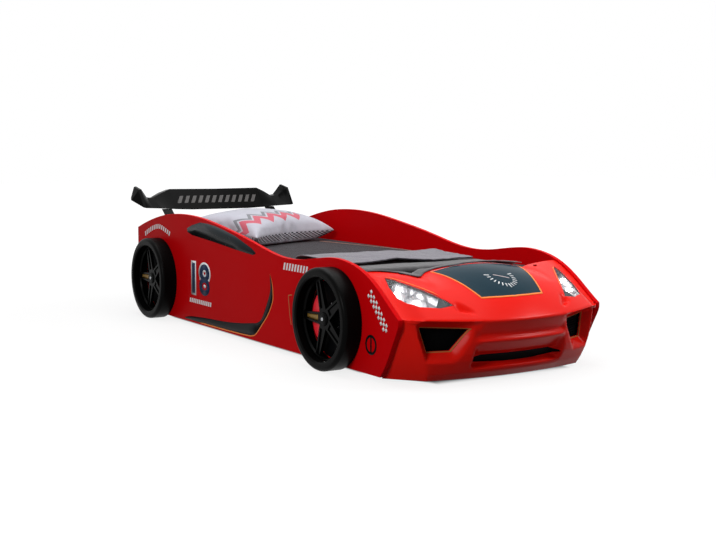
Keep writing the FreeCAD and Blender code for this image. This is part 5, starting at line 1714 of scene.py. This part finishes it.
def checkeredCotton():
    # printed percale: pale grey with a band of small checks along one edge and soft stripes in the middle
    made = fabric("printed_percale", "#bfbfc9", "#b0b0bb", 2.2, sheen=0.2, weave=0.25)
    material, tree, shader = made[:3]
    cut = addNode(tree, "ShaderNodeUVMap", uv_map="cut")
    parts = addNode(tree, "ShaderNodeSeparateXYZ", links={0: cut}).outputs
    squeezed = addNode(tree, "ShaderNodeVectorMath", {1: percale["squeeze"]}, {0: cut}, operation="MULTIPLY")
    checks = addNode(tree, "ShaderNodeTexChecker", {
        "Scale": percale["checks"], "Color1": (1, 1, 1, 1), "Color2": (0, 0, 0, 1)},
        {"Vector": squeezed})  # checks of 16 x 9 mm
    band = withinRange(tree, parts["Y"], *percale["band"])
    dark = addNode(tree, "ShaderNodeMath", links={0: band, 1: checks.outputs["Fac"]}, operation="MULTIPLY")
    chevron = addNode(tree, "ShaderNodeMath", {1: percale["chevron"]}, {0: parts["X"]}, operation="PINGPONG")
    slope = addNode(tree, "ShaderNodeMath", links={0: parts["Y"], 1: chevron}, operation="ADD")
    across = withinRange(tree, parts["X"], *percale["across"])
    layers = [(addNode(tree, "ShaderNodeMath", links={0: withinRange(tree, slope, *stripe), 1: across},
                       operation="MULTIPLY"), colour) for stripe, colour in percale["stripes"]]
    layers += [(band, percale["bandColour"]), (dark, percale["checkColour"])]
    tone = shader.inputs["Base Color"].links[0].from_socket
    for amount, colour in layers:
        tone = addNode(tree, "ShaderNodeMix", {7: toLinear(colour)}, {0: amount, 6: tone},
                       data_type="RGBA").outputs[2]
    link(tree, tone, shader.inputs["Base Color"])
    return material


ticking, greyTape, darkCotton, tanCord, liningLight, liningDark, shadowCord = (
    fabric(name, colour, shade, thread, **more)[0] for name, colour, shade, thread, more in (
        ("quilted_ticking", "#d9d6cf", "#c6c2ba", 3.0, {}),
        ("woven_edge_tape", "#9a979a", "#86838a", 2.0, {}),
        ("dark_grey_cotton", "#27242a", "#1c1a1f", 2.4, {"sheen": 0.12, "crease": 0.45}),
        ("tan_piping_cord", "#a5796a", "#8a6457", 1.5, {}),
        ("pale_lilac_brushed_cotton", "#78747d", "#625e68", 3.0, {"sheen": 0.4, "crease": 0.5}),
        ("grey_brushed_cotton", "#575557", "#444446", 3.0, {"sheen": 0.4, "crease": 0.5}),
        ("dark_shadow_line_cord", "#2f2b35", "#26232b", 1.5, {})))
pillowCotton = checkeredCotton()
makeMattress()
makeBedspread()
makeBlanket()
makePillow()
print("bedding made")

bpy.context.scene.frame_set(1)
